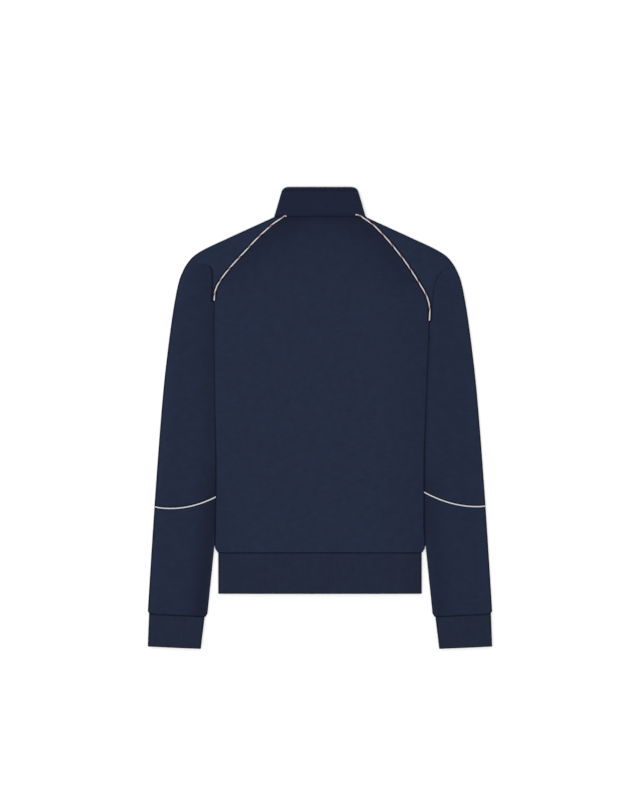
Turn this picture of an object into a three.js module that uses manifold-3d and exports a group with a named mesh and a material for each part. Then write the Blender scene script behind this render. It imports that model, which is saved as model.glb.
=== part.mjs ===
// A zip-up raglan track jacket, laid out flat on its front with the back of it uppermost.
// Millimetres. +X is the wearer's right, +Y runs from hem to collar, +Z is up and the jacket lies on z = 0.
// Each cut and sewn piece is a mesh of its own: a wall of cloth, 0.3 mm or more clear of its neighbours.
import * as THREE from 'three';
import { mergeVertices } from 'three/addons/utils/BufferGeometryUtils.js';
import Module from 'manifold-3d';

// Cloth and the way it lies
const CLOTH = 1.8; // double-knit jersey of the body and sleeves
const RIB_CLOTH = 2.8; // folded rib of the hem and cuffs, and the two-layer collar
const FOLD_GAP = 0.6; // air left inside a pressed fold
const SEAM = 0.3; // clearance where two pieces are sewn together
const PRESSED = 2 * CLOTH + FOLD_GAP; // height of a pressed edge, two layers of jersey
const RIB_PRESSED = 2 * RIB_CLOTH + FOLD_GAP; // height of a pressed edge, two layers of rib
const SLEEVE_LOFT = 2.4; // how much fuller the middle of a sleeve is than its edges
const BODY_LOFT = 3.2; // the same for the body
const LOFT_REACH = 28; // distance from a pressed edge to full loft
const BODY_LIFT = PRESSED + SEAM; // the body's sides lie on the sleeves

// Lengths down the jacket
const COLLAR_SEAM_Y = 352;
const COLLAR_TOP_Y = 404.5;
const HEM_SEAM_Y = -236.2;
const HEM_BOTTOM_Y = -308;
const HEM_HALF_WIDTH = 178.3;
const FRONT_NECK_Y = 290;
const FRONT_COLLAR_TOP_Y = 346;
const ZIP_EDGE_X = 5.6; // front edges stand this far from the centre line

// Ribs of the hem band and cuffs
const RIB_PITCH = 3.4;
const RIB_DEPTH = 0.5;

// Piping
const RAGLAN_PIPING_R = 1.4;
const FOREARM_PIPING_R = 1.2;
const PIPING_SIDES = 8;

// The silhouette, from the neck point over the shoulder and down the sleeve: distance from the centre line.
const SILHOUETTE = [
  { y: 352, x: 80.5 },
  { y: 336, x: 115.5 },
  { y: 315, x: 161.4 },
  { y: 294, x: 205.5 },
  { y: 283.5, x: 221.6 },
  { y: 273, x: 231 },
  { y: 262.5, x: 237.8 },
  { y: 241.5, x: 246.6 },
  { y: 210, x: 253.6 },
  { y: 150.5, x: 262.7 },
  { y: 45.5, x: 274.8 },
  { y: -122.5, x: 287.9 },
  { y: -248.5, x: 296.3 },
  { y: -349, x: 302.4 },
];

// One side's lines, in distances from the centre line: the back raglan seam, the edge of the body's side, and
// the fold where the sleeve turns down, which only guides the grid above its first visible point. The forearm
// seam is a parabola. The two sides don't lie quite alike.
const LEFT = {
  sign: -1,
  armpitY: 204.8,
  foldTopY: 271,
  foldFullY: 262,
  raglan: [
    { y: 352, x: 64.6 },
    { y: 339.5, x: 82.6 },
    { y: 329, x: 94.7 },
    { y: 315, x: 109.7 },
    { y: 294, x: 129.3 },
    { y: 273, x: 148.8 },
    { y: 252, x: 166.6 },
    { y: 231, x: 180.3 },
    { y: 220.5, x: 184.1 },
    { y: 204.8, x: 185.4 },
  ],
  fold: [
    { y: 352, x: 74.5 },
    { y: 315, x: 138 },
    { y: 294, x: 172 },
    { y: 280, x: 198 },
    { y: 270, x: 206.5 },
    { y: 264.3, x: 190.8 },
    { y: 250, x: 187.4 },
    { y: 204.8, x: 187.2 },
  ],
  bodyEdge: [
    { y: 204.8, x: 185.4 },
    { y: 118, x: 185 },
    { y: 14, x: 183.8 },
    { y: -91, x: 182 },
    { y: -190, x: 183.2 },
    { y: -222, x: 184.5 },
    { y: -229, x: 183.4 },
    { y: -233, x: 181.2 },
    { y: -236.2, x: 178.8 },
  ],
  forearm: { lowX: 262, lowY: -158.4, bend: 0.00318 },
  pipingHook: [
    { x: 58.2, y: 353.2 },
    { x: 62, y: 353.1 },
    { x: 65.2, y: 351.4 },
  ],
};
const RIGHT = {
  sign: 1,
  armpitY: 169.8,
  foldTopY: 268,
  foldFullY: 255,
  raglan: [
    { y: 352, x: 73.2 },
    { y: 346.5, x: 82.4 },
    { y: 336, x: 95.4 },
    { y: 315, x: 115.9 },
    { y: 294, x: 133.5 },
    { y: 273, x: 149.8 },
    { y: 252, x: 163.8 },
    { y: 231, x: 176.9 },
    { y: 210, x: 188.1 },
    { y: 192.5, x: 192 },
    { y: 180, x: 192.2 },
    { y: 169.8, x: 191.4 },
  ],
  fold: [
    { y: 352, x: 78 },
    { y: 315, x: 140 },
    { y: 294, x: 176 },
    { y: 278, x: 212 },
    { y: 266, x: 223 },
    { y: 257.3, x: 213.3 },
    { y: 246.8, x: 205.3 },
    { y: 230, x: 199.5 },
    { y: 211.8, x: 197.2 },
    { y: 192.5, x: 195.6 },
    { y: 169.8, x: 194 },
  ],
  bodyEdge: [
    { y: 169.8, x: 191.4 },
    { y: 118, x: 189 },
    { y: 14, x: 185 },
    { y: -91, x: 182 },
    { y: -190, x: 182 },
    { y: -222, x: 184.5 },
    { y: -229, x: 183.4 },
    { y: -233, x: 181.2 },
    { y: -236.2, x: 178.8 },
  ],
  forearm: { lowX: 275, lowY: -155.2, bend: 0.00294 },
  pipingHook: [
    { x: 61.8, y: 355.7 },
    { x: 66, y: 355.8 },
    { x: 70, y: 354 },
  ],
};

// The front half of the collar, under the jacket, from the zip to the neck point. Its seam meets the front
// panel and the sleeve, and its upper edge is free.
const FRONT_COLLAR = [
  { seamX: 5.6, seamY: 290, topX: 5.6, topY: 346 },
  { seamX: 25, seamY: 292.7, topX: 22, topY: 348.5 },
  { seamX: 36, seamY: 297.6, topX: 32, topY: 352 },
  { seamX: 45, seamY: 303.8, topX: 40, topY: 357 },
  { seamX: 53.5, seamY: 312, topX: 47, topY: 364.5 },
  { seamX: 58, seamY: 318, topX: 51, topY: 369.5 },
  { seamX: 66, seamY: 330, topX: 56.5, topY: 379 },
  { seamX: 73, seamY: 340.5, topX: 61, topY: 388 },
  { seamX: 80.2, seamY: 352, topX: 67.4, topY: 396.4 },
];
const NECK_CLEAR = { x: 0.2, y: 0.35 }; // how far the sewn pieces stand off the collar's seam
const FRONT_RAGLAN_TOP = { y: 318, x: 58 };
const FRONT_RAGLAN_BOW = 0.1;

// Where each sleeve ends and its cuff begins, and where the cuff ends: straight lines across the sleeve.
const CUFF_SEAM = { outerX: 302, outerY: -343.6, innerX: 198, innerY: -348.6 };
const CUFF_END = { outerX: 302, outerY: -400.4, innerX: 209, innerY: -404.5 };
const CUFF_EDGES = { outerTop: 299.6, innerTop: 202.2, outerEnd: 301.8, innerEnd: 209 };

// The sleeve's inner edge: it slants out below the body and is tucked under the body's side above.
const INNER_EDGE = { clearY: -222, clearX: 184.9, slantBelow: 0.1023, slantAbove: 0.104 };
const TUCK = { startBelowArmpit: 30, fadeIn: 45, fadeY: -165, endY: -192, clearance: 0.4 };

// Small maths
const clamp01 = (t) => Math.min(1, Math.max(0, t));
const smooth = (t) => clamp01(t) ** 2 * (3 - 2 * clamp01(t));
const rise = (t) => 1 - (1 - clamp01(t)) ** 3;
const mix = (a, b, t) => a + (b - a) * t;
const along = (from, to, value) => clamp01((value - from) / (to - from));

// A smooth curve x(y) through a table's rows that never overshoots them.
function curve(table) {
  const rows = [...table].sort((a, b) => a.y - b.y);
  const slopes = rows.slice(1).map((row, i) => (row.x - rows[i].x) / (row.y - rows[i].y));
  const tangents = rows.map((row, i) => {
    const before = slopes[i - 1];
    const after = slopes[i];
    if (before === undefined) return after;
    if (after === undefined) return before;
    return before * after <= 0 ? 0 : (2 * before * after) / (before + after);
  });
  return (y) => {
    const at = Math.min(Math.max(y, rows[0].y), rows[rows.length - 1].y);
    const i = Math.max(0, Math.min(rows.length - 2, rows.findIndex((row) => row.y >= at) - 1));
    const span = rows[i + 1].y - rows[i].y;
    const t = (at - rows[i].y) / span;
    return (
      (1 + 2 * t) * (1 - t) ** 2 * rows[i].x +
      t * (1 - t) ** 2 * span * tangents[i] +
      t ** 2 * (3 - 2 * t) * rows[i + 1].x -
      t ** 2 * (1 - t) * span * tangents[i + 1]
    );
  };
}

// How much longer a sideways step is than the same step square to a curve.
const sidewaysStretch = (fn, y) => Math.hypot(1, fn(y + 0.5) - fn(y - 0.5));

// Heights from one level to others, evenly spaced in each zone, without the first.
function levels(from, zones) {
  const heights = [from];
  for (const { to, step } of zones) {
    const start = heights[heights.length - 1];
    const count = Math.max(1, Math.round(Math.abs(to - start) / step));
    for (let i = 1; i <= count; i++) heights.push(mix(start, to, i / count));
  }
  return heights.slice(1);
}

// How far a rolled edge of this thickness has dropped at a distance from the edge.
function rollDown(distance, thickness) {
  const t = clamp01(distance / thickness);
  return Math.min(thickness * (1 - Math.sqrt(1 - (1 - t) ** 2)), thickness - 0.4);
}

const silhouette = curve(SILHOUETTE);

// The edge that meets the front neckline: straight between the collar's stations, and clear of them.
function frontNeck(y) {
  const rows = FRONT_COLLAR;
  const at = y + NECK_CLEAR.y;
  const i = Math.max(0, Math.min(rows.length - 2, rows.findIndex((row) => row.seamY >= at) - 1));
  const t = (at - rows[i].seamY) / (rows[i + 1].seamY - rows[i].seamY);
  return mix(rows[i].seamX, rows[i + 1].seamX, clamp01(t)) + NECK_CLEAR.x;
}

// The seam lines and edges of one side, as functions of y, in distances from the centre line.
function sideLines(side) {
  const raglan = curve(side.raglan);
  const bodyEdge = curve(side.bodyEdge);
  const foldTable = curve(side.fold);
  const armpitX = raglan(side.armpitY);
  const tuckStart = side.armpitY - TUCK.startBelowArmpit;
  const pipingRoom = (y) => (RAGLAN_PIPING_R + SEAM) * sidewaysStretch(raglan, y);
  const frontRaglan = (y) => {
    const t = along(FRONT_RAGLAN_TOP.y, side.armpitY, y);
    return mix(FRONT_RAGLAN_TOP.x, armpitX, t + FRONT_RAGLAN_BOW * Math.sin(Math.PI * t));
  };
  const tucked = (y) =>
    smooth(along(tuckStart, tuckStart - TUCK.fadeIn, y)) * smooth(along(TUCK.endY, TUCK.fadeY, y));
  const innerEdge = (y) => {
    if (y < INNER_EDGE.clearY) return INNER_EDGE.clearX + INNER_EDGE.slantBelow * (INNER_EDGE.clearY - y);
    const beside = bodyEdge(y) + TUCK.clearance;
    const straight = INNER_EDGE.clearX - INNER_EDGE.slantAbove * (y - INNER_EDGE.clearY);
    return mix(beside, straight, tucked(y));
  };
  // 1 where the body's side lies on the sleeve, fading out before the armpit and before the hem
  const carried = (y) => smooth(along(tuckStart + 22, tuckStart + 2, y)) * smooth(along(-214, -194, y));
  const forearm = (x) => side.forearm.lowY + side.forearm.bend * (x - side.forearm.lowX) ** 2;
  return { raglan, bodyEdge, foldTable, pipingRoom, frontRaglan, innerEdge, carried, forearm };
}
for (const side of [LEFT, RIGHT]) side.lines = sideLines(side);

// How far the body's front or back is lifted off the floor by the sleeve tucked under its side.
function lift(side, x, y, reach) {
  const start = side.lines.innerEdge(y) - reach;
  return BODY_LIFT * side.lines.carried(y) * smooth((x - start) / (reach - 3));
}
const FRONT_LIFT_REACH = 24;
const BACK_LIFT_REACH = 60;
const LIFTED_SAG = 1.8; // loft lost where the back lies over a sleeve

// Closed solid between two grids of points, the outer face of the cloth and its inner face.
function clothWall(outer, inner, mirrored = false) {
  const rows = outer.length;
  const columns = outer[0].length;
  const positions = [...outer.flat(), ...inner.flat()].flat();
  const index = [];
  const outerAt = (r, c) => r * columns + c;
  const innerAt = (r, c) => (rows + r) * columns + c;
  const quad = (a, b, c, d) => index.push(...(mirrored ? [a, c, b, a, d, c] : [a, b, c, a, c, d]));
  for (let r = 0; r + 1 < rows; r++) {
    for (let c = 0; c + 1 < columns; c++) {
      quad(outerAt(r, c), outerAt(r, c + 1), outerAt(r + 1, c + 1), outerAt(r + 1, c));
      quad(innerAt(r, c), innerAt(r + 1, c), innerAt(r + 1, c + 1), innerAt(r, c + 1));
    }
    quad(outerAt(r, 0), outerAt(r + 1, 0), innerAt(r + 1, 0), innerAt(r, 0));
    const end = columns - 1;
    quad(outerAt(r, end), innerAt(r, end), innerAt(r + 1, end), outerAt(r + 1, end));
  }
  for (let c = 0; c + 1 < columns; c++) {
    quad(outerAt(0, c), innerAt(0, c), innerAt(0, c + 1), outerAt(0, c + 1));
    const last = rows - 1;
    quad(outerAt(last, c), outerAt(last, c + 1), innerAt(last, c + 1), innerAt(last, c));
  }
  const geometry = new THREE.BufferGeometry();
  geometry.setAttribute('position', new THREE.Float32BufferAttribute(positions, 3));
  geometry.setIndex(index);
  geometry.computeVertexNormals();
  return geometry;
}

const jacket = new THREE.Group();
function addPiece(name, geometry, color, roughness = 0.9, metalness = 0) {
  const mesh = new THREE.Mesh(geometry, new THREE.MeshStandardMaterial({ color, roughness, metalness }));
  mesh.name = name;
  jacket.add(mesh);
  return mesh;
}
const NAVY = 0x252d42;
const RIB_NAVY = 0x242b3c;
const WHITE = 0xd9d8dd;
const ZIP_NAVY = 0x1d2336;
const METAL = 0x8d9096;

// Distances from a panel's edge at which its grid has columns or rows: close together over the rolled edge.
const EDGE_STEPS = [0, 0.6, CLOTH, 9, 28];

// Distances across a panel from its inner edge: close steps at both edges and an even middle.
function gridAcross(width, middle) {
  const near = EDGE_STEPS.filter((d) => d < width / 2.2);
  const inside = near[near.length - 1];
  const step = (width - 2 * inside) / (middle + 1);
  const between = levels(inside, [{ to: width - inside, step }]).slice(0, -1);
  return [...near, ...between, ...near.map((d) => width - d).reverse()];
}

// Back panel: from the hem seam to the collar seam, between the sides and then the raglan seams.
const BACK_ZONES = [
  { to: -190, step: 9 },
  { to: -150, step: 40 },
  { to: 100, step: 62 },
  { to: 205, step: 15 },
  { to: 335, step: 22 },
];

// Height of the back's outer face: pressed at the sides, full in the middle, lifted by the sleeves.
function backHeight(side, x, y, distance) {
  const open = smooth(along(side.armpitY - 28, side.armpitY, y));
  const lifted = lift(side, x, y, BACK_LIFT_REACH);
  const edge = PRESSED + SLEEVE_LOFT * open;
  const full = PRESSED + BODY_LOFT - (LIFTED_SAG * lifted) / BODY_LIFT;
  return mix(edge, full, rise(distance / LOFT_REACH)) + lifted;
}

function backSpan(side, y) {
  const { raglan, bodyEdge, pipingRoom } = side.lines;
  return y >= side.armpitY ? raglan(y) - pipingRoom(y) : bodyEdge(y);
}

function buildBackPanel() {
  const low = HEM_SEAM_Y + SEAM / 2;
  const high = COLLAR_SEAM_Y - SEAM / 2;
  const bottomRows = EDGE_STEPS.slice(0, 4).map((d) => low + d);
  const rowsY = [
    ...bottomRows,
    ...levels(bottomRows[bottomRows.length - 1], BACK_ZONES),
    ...EDGE_STEPS.slice(0, 3).map((d) => high - d).reverse(),
  ];
  const outer = [];
  const inner = [];
  for (const y of rowsY) {
    const left = -backSpan(LEFT, y);
    const right = backSpan(RIGHT, y);
    const across = gridAcross(right - left, 3).map((d) => left + d);
    outer.push([]);
    inner.push([]);
    for (const x of across) {
      const side = x < 0 ? LEFT : RIGHT;
      const fromSide = Math.min(x - left, right - x);
      const top = backHeight(side, Math.abs(x), y, fromSide);
      const roll = rollDown(Math.min(fromSide, y - low, high - y), CLOTH);
      outer[outer.length - 1].push([x, y, top - roll]);
      inner[inner.length - 1].push([x, y, top - CLOTH]);
    }
  }
  return clothWall(outer, inner);
}

// Front panels: on the floor, lifted where their sides lie on the sleeves. Each has a turned edge at the zip.
const FRONT_ZONES = [
  { to: -190, step: 8 },
  { to: -150, step: 35 },
  { to: 90, step: 60 },
  { to: 190, step: 12 },
  { to: 280, step: 30 },
];
const FRONT_CORNER_Y = 316.4; // where the neckline and the raglan seam run together
const TURNED_EDGE = { width: 14, thickness: RIB_CLOTH };

function frontSpan(side, y) {
  const { frontRaglan, bodyEdge } = side.lines;
  const outerX = y >= side.armpitY ? frontRaglan(y) - SEAM / 2 : bodyEdge(y);
  const innerX = y > FRONT_NECK_Y - NECK_CLEAR.y ? frontNeck(y) : ZIP_EDGE_X;
  return { innerX, outerX };
}

function buildFrontPanel(side) {
  const neck = FRONT_COLLAR.slice(0, 5).map((row) => row.seamY - NECK_CLEAR.y);
  const low = HEM_SEAM_Y + SEAM / 2;
  const rowsY = [low, low + 6, low + 14, ...levels(low + 14, FRONT_ZONES), ...neck, FRONT_CORNER_Y];
  const outer = [];
  const inner = [];
  for (const y of rowsY) {
    const { innerX, outerX } = frontSpan(side, y);
    const width = outerX - innerX;
    const narrow = Math.min(1, width / 90);
    const onSleeve = Math.min(outerX - 4, side.lines.innerEdge(y) - 2);
    const fromSide = [outerX, outerX - 0.6, outerX - CLOTH, onSleeve, onSleeve - 11, onSleeve - 22];
    const turned = Math.min(TURNED_EDGE.width, width * 0.2);
    const across = fromSide.map((x) => outerX - narrow * (outerX - x));
    across.push(mix(innerX, outerX, 0.4), innerX + turned * 1.1, innerX + turned, innerX);
    outer.push([]);
    inner.push([]);
    for (const x of across) {
      const base = lift(side, x, y, FRONT_LIFT_REACH);
      const roll = rollDown(outerX - x, CLOTH);
      const thickness = x <= innerX + turned + 0.01 ? TURNED_EDGE.thickness : CLOTH;
      outer[outer.length - 1].push([side.sign * x, y, base + roll]);
      inner[inner.length - 1].push([side.sign * x, y, base + thickness]);
    }
  }
  return clothWall(outer, inner, side.sign < 0);
}

// A pressed fold's round nose: points on its outer and inner face at an angle, 90 on top and -90 underneath.
function foldPoint(noseX, outward, degrees, thickness) {
  const outerR = thickness + FOLD_GAP / 2;
  const innerR = FOLD_GAP / 2;
  const angle = THREE.MathUtils.degToRad(degrees);
  const centreX = noseX - outward * outerR;
  const at = (r) => ({ x: centreX + outward * r * Math.cos(angle), z: outerR + r * Math.sin(angle) });
  return { outer: at(outerR), inner: at(innerR) };
}

// One row across a sleeve, from its back inner edge over the top, round the outer fold and back underneath.
// row: outerX; creaseX, where the shoulder's fold or the body's side crosses; innerX and frontInnerX, its two
// inner edges; closed, 1 where the sleeve is a tube; stepUp, the share of the fold's full height.
const FOLD_ANGLES = [60, 25, -15, -55];
const NOSE_ANGLES = [55, 4.1];
const TROUGH_SHARE = 0.85;
const FOLD_STEP_WIDTH = 1.6;
function sleeveRow(row, thickness, loft) {
  const pressed = 2 * thickness + FOLD_GAP;
  const outerR = thickness + FOLD_GAP / 2;
  const points = [];
  const add = (x, outerZ, innerZ, layer) => {
    points.push({ outer: { x, z: outerZ }, inner: { x, z: innerZ }, layer });
  };
  const flatTop = row.outerX - outerR;
  const trough = Math.max(row.closed, TROUGH_SHARE * row.stepUp);
  const topHeight = (x) => {
    const fromFold = rise((flatTop - x) / LOFT_REACH);
    const fromCrease = rise((x - row.creaseX) / LOFT_REACH);
    return pressed + loft * fromFold * (1 - trough * (1 - fromCrease));
  };
  const innerHeight = pressed + loft * (1 - row.closed) * rise((flatTop - row.innerX) / LOFT_REACH);
  // the inner end of the top wall: a rolled seam edge, or half of a fold where the sleeve is a tube
  for (const degrees of [...NOSE_ANGLES].reverse()) {
    const nose = foldPoint(row.innerX, -1, degrees, thickness);
    const share = (90 - degrees) / 90;
    const openX = row.innerX + thickness * (1 - share) * 0.7;
    const openRoll = rollDown(thickness * (1 - share), thickness);
    points.push({
      outer: {
        x: mix(openX, nose.outer.x, row.closed),
        z: mix(innerHeight - openRoll, nose.outer.z, row.closed),
      },
      inner: {
        x: mix(openX, Math.max(nose.inner.x, row.innerX + thickness), row.closed),
        z: mix(innerHeight - thickness, Math.max(nose.inner.z, outerR + SEAM / 2), row.closed),
      },
      layer: 1,
    });
  }
  const insideX = row.innerX + Math.max(thickness * 0.7, row.closed * outerR);
  const stepWidth = Math.min(FOLD_STEP_WIDTH, (flatTop - insideX) * 0.1);
  const stepX = Math.max(row.creaseX - stepWidth, insideX + 0.4);
  const baseX = Math.max(row.creaseX, stepX + stepWidth);
  const capHeight = mix(mix(topHeight(stepX), innerHeight, row.stepUp), pressed, row.closed);
  for (const x of [mix(insideX, stepX, 0.15), mix(insideX, stepX, 0.6), stepX]) {
    const z = mix(innerHeight, capHeight, along(insideX, stepX, x));
    add(x, z, z - thickness, 1);
  }
  for (const t of [0, 0.08, 0.25, 0.5, 0.78, 0.94, 1]) {
    const x = mix(baseX, flatTop, t);
    add(x, topHeight(x), topHeight(x) - thickness, 1);
  }
  for (const degrees of FOLD_ANGLES) {
    const nose = foldPoint(row.outerX, 1, degrees, thickness);
    points.push({ ...nose, layer: degrees > -30 ? 0.99 : 0.5 });
  }
  const bottomInside = row.frontInnerX + mix(0.5, outerR, row.closed);
  for (const t of [0, 0.5, 1]) add(mix(flatTop, bottomInside, t), 0, thickness, 0);
  for (const degrees of NOSE_ANGLES) {
    const nose = foldPoint(row.frontInnerX, -1, -degrees, thickness);
    const share = (90 - degrees) / 90;
    const openX = row.frontInnerX + 0.5 * (1 - share);
    points.push({
      outer: { x: mix(openX, nose.outer.x, row.closed), z: mix(0.4 * share, nose.outer.z, row.closed) },
      inner: {
        x: mix(openX, Math.max(nose.inner.x, row.frontInnerX + thickness), row.closed),
        z: mix(thickness, Math.min(nose.inner.z, outerR - SEAM / 2), row.closed),
      },
      layer: 0,
    });
  }
  return points;
}

function lineAcross(line, x) {
  return mix(line.innerY, line.outerY, (x - line.innerX) / (line.outerX - line.innerX));
}

// The inputs of sleeveRow at a height on the jacket. Its front edge can be taken from lower down.
function sleeveRowAt(side, y, frontY = y) {
  const { raglan, foldTable, pipingRoom, frontRaglan, innerEdge, bodyEdge } = side.lines;
  const outerX = silhouette(y);
  const closed = y > side.armpitY - 1 ? 0 : 1;
  if (closed) {
    const innerX = innerEdge(y);
    const creaseX = Math.max(y < INNER_EDGE.clearY ? innerX + 2 : bodyEdge(y) + 0.2, innerX + 2);
    return { outerX, creaseX, innerX, frontInnerX: innerX, closed, stepUp: 0 };
  }
  const innerX = raglan(y) + pipingRoom(y);
  const frontInnerX = y > FRONT_RAGLAN_TOP.y ? frontNeck(frontY) : frontRaglan(y) + SEAM / 2;
  const stepUp = smooth(along(side.foldTopY, side.foldFullY, y));
  return { outerX, creaseX: foldTable(y), innerX, frontInnerX, closed, stepUp };
}

// Upper sleeve: from the collar seam to the forearm seam. Its last rows bend to follow that seam.
const NECK_POINT_DROP = 4.6; // the underside starts this much lower, where the neckline leaves it room
const FOREARM_START_Y = -130;
function sleeveUpperRows(side) {
  const { armpitY } = side;
  const neck = FRONT_COLLAR.slice(5).map((row) => row.seamY - NECK_CLEAR.y);
  const shoulder = [
    { to: 282, step: 17 },
    { to: 262, step: 4.5 },
    { to: armpitY + 8, step: 13 },
  ];
  const nearArmpit = [armpitY + 4, armpitY, armpitY - 2.4, armpitY - 10];
  const arm = [
    { to: 130, step: 18 },
    { to: FOREARM_START_Y, step: 58 },
  ];
  const neckRows = neck.reverse();
  const shoulderRows = levels(neckRows[neckRows.length - 1], shoulder);
  return [...neckRows, ...shoulderRows, ...nearArmpit, ...levels(armpitY - 10, arm)];
}

const FOREARM_SLOT = FOREARM_PIPING_R + SEAM;
const BEND_START_Y = -40;

// Moves a level row of points to its share of the way down to a slanting or curved line across the sleeve.
function bendRow(points, y, share, lineY, topGap, bottomGap) {
  return points.map((p) => {
    const gap = mix(bottomGap, topGap, p.layer);
    const bent = (x) => mix(y, lineY(x) + gap, share);
    return {
      outer: [p.outer.x, bent(p.outer.x), p.outer.z],
      inner: [p.inner.x, bent(p.inner.x), p.inner.z],
    };
  });
}

function buildSleeveUpper(side) {
  const { forearm } = side.lines;
  const meanSeamY = forearm(235);
  const rows = sleeveUpperRows(side).map((y, i) => {
    const frontDrop = i === 0 ? NECK_POINT_DROP : 0;
    const points = sleeveRow(sleeveRowAt(side, y, y - frontDrop), CLOTH, SLEEVE_LOFT);
    const share = smooth(along(BEND_START_Y, meanSeamY, y)) * 0.85;
    if (share > 0) return bendRow(points, y, share, (x) => forearm(x) + (y - meanSeamY), 0, 0);
    return bendRow(points, y, 1, () => y, 0, -frontDrop);
  });
  for (const back of [2.2, 0]) {
    const points = sleeveRow(sleeveRowAt(side, meanSeamY + back), CLOTH, SLEEVE_LOFT);
    const sunk = points.map((p) => (back === 0 && p.layer === 1 ? dropped(p, 0.8) : p));
    rows.push(bendRow(sunk, 0, 1, (x) => forearm(x) + back, FOREARM_SLOT, SEAM / 2));
  }
  return mirroredWall(rows, side);
}

// Lowers a point of the cloth's outer face into a seam.
const dropped = (p, by) => ({ ...p, outer: { x: p.outer.x, z: p.outer.z - by } });

function mirroredWall(rows, side) {
  const face = (key) => rows.map((row) => row.map((p) => [side.sign * p[key][0], p[key][1], p[key][2]]));
  return clothWall(face('outer'), face('inner'), side.sign > 0);
}

// Lower sleeve: from the forearm seam to the cuff seam, where the jersey rounds in to the narrower rib.
const SLEEVE_LOWER_SHARES = [0, 0.02, 0.3, 0.6, 0.87, 0.965, 0.99, 1];
function buildSleeveLower(side) {
  const { forearm } = side.lines;
  const rows = SLEEVE_LOWER_SHARES.map((share) => {
    const level = mix(forearm(235), lineAcross(CUFF_SEAM, 250), share);
    const row = sleeveRowAt(side, level);
    const drawnIn = 2.6 * smooth(along(0.972, 1, share));
    row.outerX -= drawnIn;
    row.innerX += drawnIn;
    row.frontInnerX += drawnIn;
    row.creaseX = row.innerX + 2;
    const points = sleeveRow(row, CLOTH, SLEEVE_LOFT);
    return points.map((p) => {
      const startGap = mix(SEAM / 2, FOREARM_SLOT, p.layer);
      const bent = (x) => mix(forearm(x) - startGap, lineAcross(CUFF_SEAM, x) + SEAM / 2, share);
      const atSeam = p.layer === 1 && (share === 0 || share === 1);
      const outer = atSeam ? dropped(p, 0.8).outer : p.outer;
      return { outer: [outer.x, bent(outer.x), outer.z], inner: [p.inner.x, bent(p.inner.x), p.inner.z] };
    });
  });
  return mirroredWall(rows, side);
}

// Shares of the way across a ribbed width, a valley and a crest to each rib.
function ribStations(width) {
  const count = Math.round(width / RIB_PITCH);
  return Array.from({ length: 2 * count + 1 }, (_, i) => ({ t: i / (2 * count), raised: i % 2 }));
}

// Height of the upper rib layer at a share of the way across, fuller in its middle.
const ribLayerHeight = (t, loft) => RIB_PRESSED + loft * Math.sin(Math.PI * t);

// Cuff: a flattened tube of rib, its ribs raised on the upper face and plain where it lies on the floor.
const CUFF_LOFT = 0.7;
function buildCuff(side) {
  const outerR = RIB_CLOTH + FOLD_GAP / 2;
  const stations = ribStations(CUFF_EDGES.outerTop - CUFF_EDGES.innerTop - 2 * outerR);
  const rows = [0, 1].map((share) => {
    const outerX = mix(CUFF_EDGES.outerTop, CUFF_EDGES.outerEnd, share);
    const innerX = mix(CUFF_EDGES.innerTop, CUFF_EDGES.innerEnd, share);
    const points = [];
    const nose = (noseX, outward, degrees) => points.push(foldPoint(noseX, outward, degrees, RIB_CLOTH));
    for (const degrees of [4.1, 45]) nose(innerX, -1, degrees);
    points[0].inner = { x: innerX + RIB_CLOTH, z: outerR + SEAM / 2 };
    for (const { t, raised } of stations) {
      const x = mix(innerX + outerR, outerX - outerR, t);
      const z = ribLayerHeight(t, CUFF_LOFT);
      points.push({ outer: { x, z: z + raised * RIB_DEPTH }, inner: { x, z: z - RIB_CLOTH } });
    }
    for (const degrees of [45, 0, -45]) nose(outerX, 1, degrees);
    for (const across of [1, 0.5, 0]) {
      const x = mix(innerX + outerR, outerX - outerR, across);
      points.push({ outer: { x, z: 0 }, inner: { x, z: RIB_CLOTH } });
    }
    for (const degrees of [-45, -4.1]) nose(innerX, -1, degrees);
    points[points.length - 1].inner = { x: innerX + RIB_CLOTH, z: outerR - SEAM / 2 };
    const bent = (x) => mix(lineAcross(CUFF_SEAM, x) - SEAM / 2, lineAcross(CUFF_END, x), share);
    return points.map((p) => ({
      outer: [p.outer.x, bent(p.outer.x), p.outer.z],
      inner: [p.inner.x, bent(p.inner.x), p.inner.z],
    }));
  });
  return mirroredWall(rows, side);
}

// Hem band: rib from one zip edge round the side, across the back and round to the other zip edge.
const HEM_LOFT = 1.7;
function buildHemBand() {
  const outerR = RIB_CLOTH + FOLD_GAP / 2;
  const flatHalf = HEM_HALF_WIDTH - outerR;
  const low = HEM_BOTTOM_Y;
  const high = HEM_SEAM_Y - SEAM / 2;
  const rows = [low, high].map((y) => {
    const points = [];
    const front = (x) => points.push({ outer: { x, z: 0 }, inner: { x, z: RIB_CLOTH } });
    for (const x of [-ZIP_EDGE_X, -90, -flatHalf]) front(x);
    for (const degrees of [-45, 0, 45]) points.push(foldPoint(-HEM_HALF_WIDTH, -1, degrees, RIB_CLOTH));
    for (const { t, raised } of ribStations(2 * flatHalf)) {
      const x = mix(-flatHalf, flatHalf, t);
      const z = ribLayerHeight(t, HEM_LOFT);
      points.push({ outer: { x, z: z + raised * RIB_DEPTH }, inner: { x, z: z - RIB_CLOTH } });
    }
    for (const degrees of [45, 0, -45]) points.push(foldPoint(HEM_HALF_WIDTH, 1, degrees, RIB_CLOTH));
    for (const x of [flatHalf, 90, ZIP_EDGE_X]) front(x);
    return points.map((p) => ({ outer: [p.outer.x, y, p.outer.z], inner: [p.inner.x, y, p.inner.z] }));
  });
  return clothWall(rows.map((row) => row.map((p) => p.outer)), rows.map((row) => row.map((p) => p.inner)));
}

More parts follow.
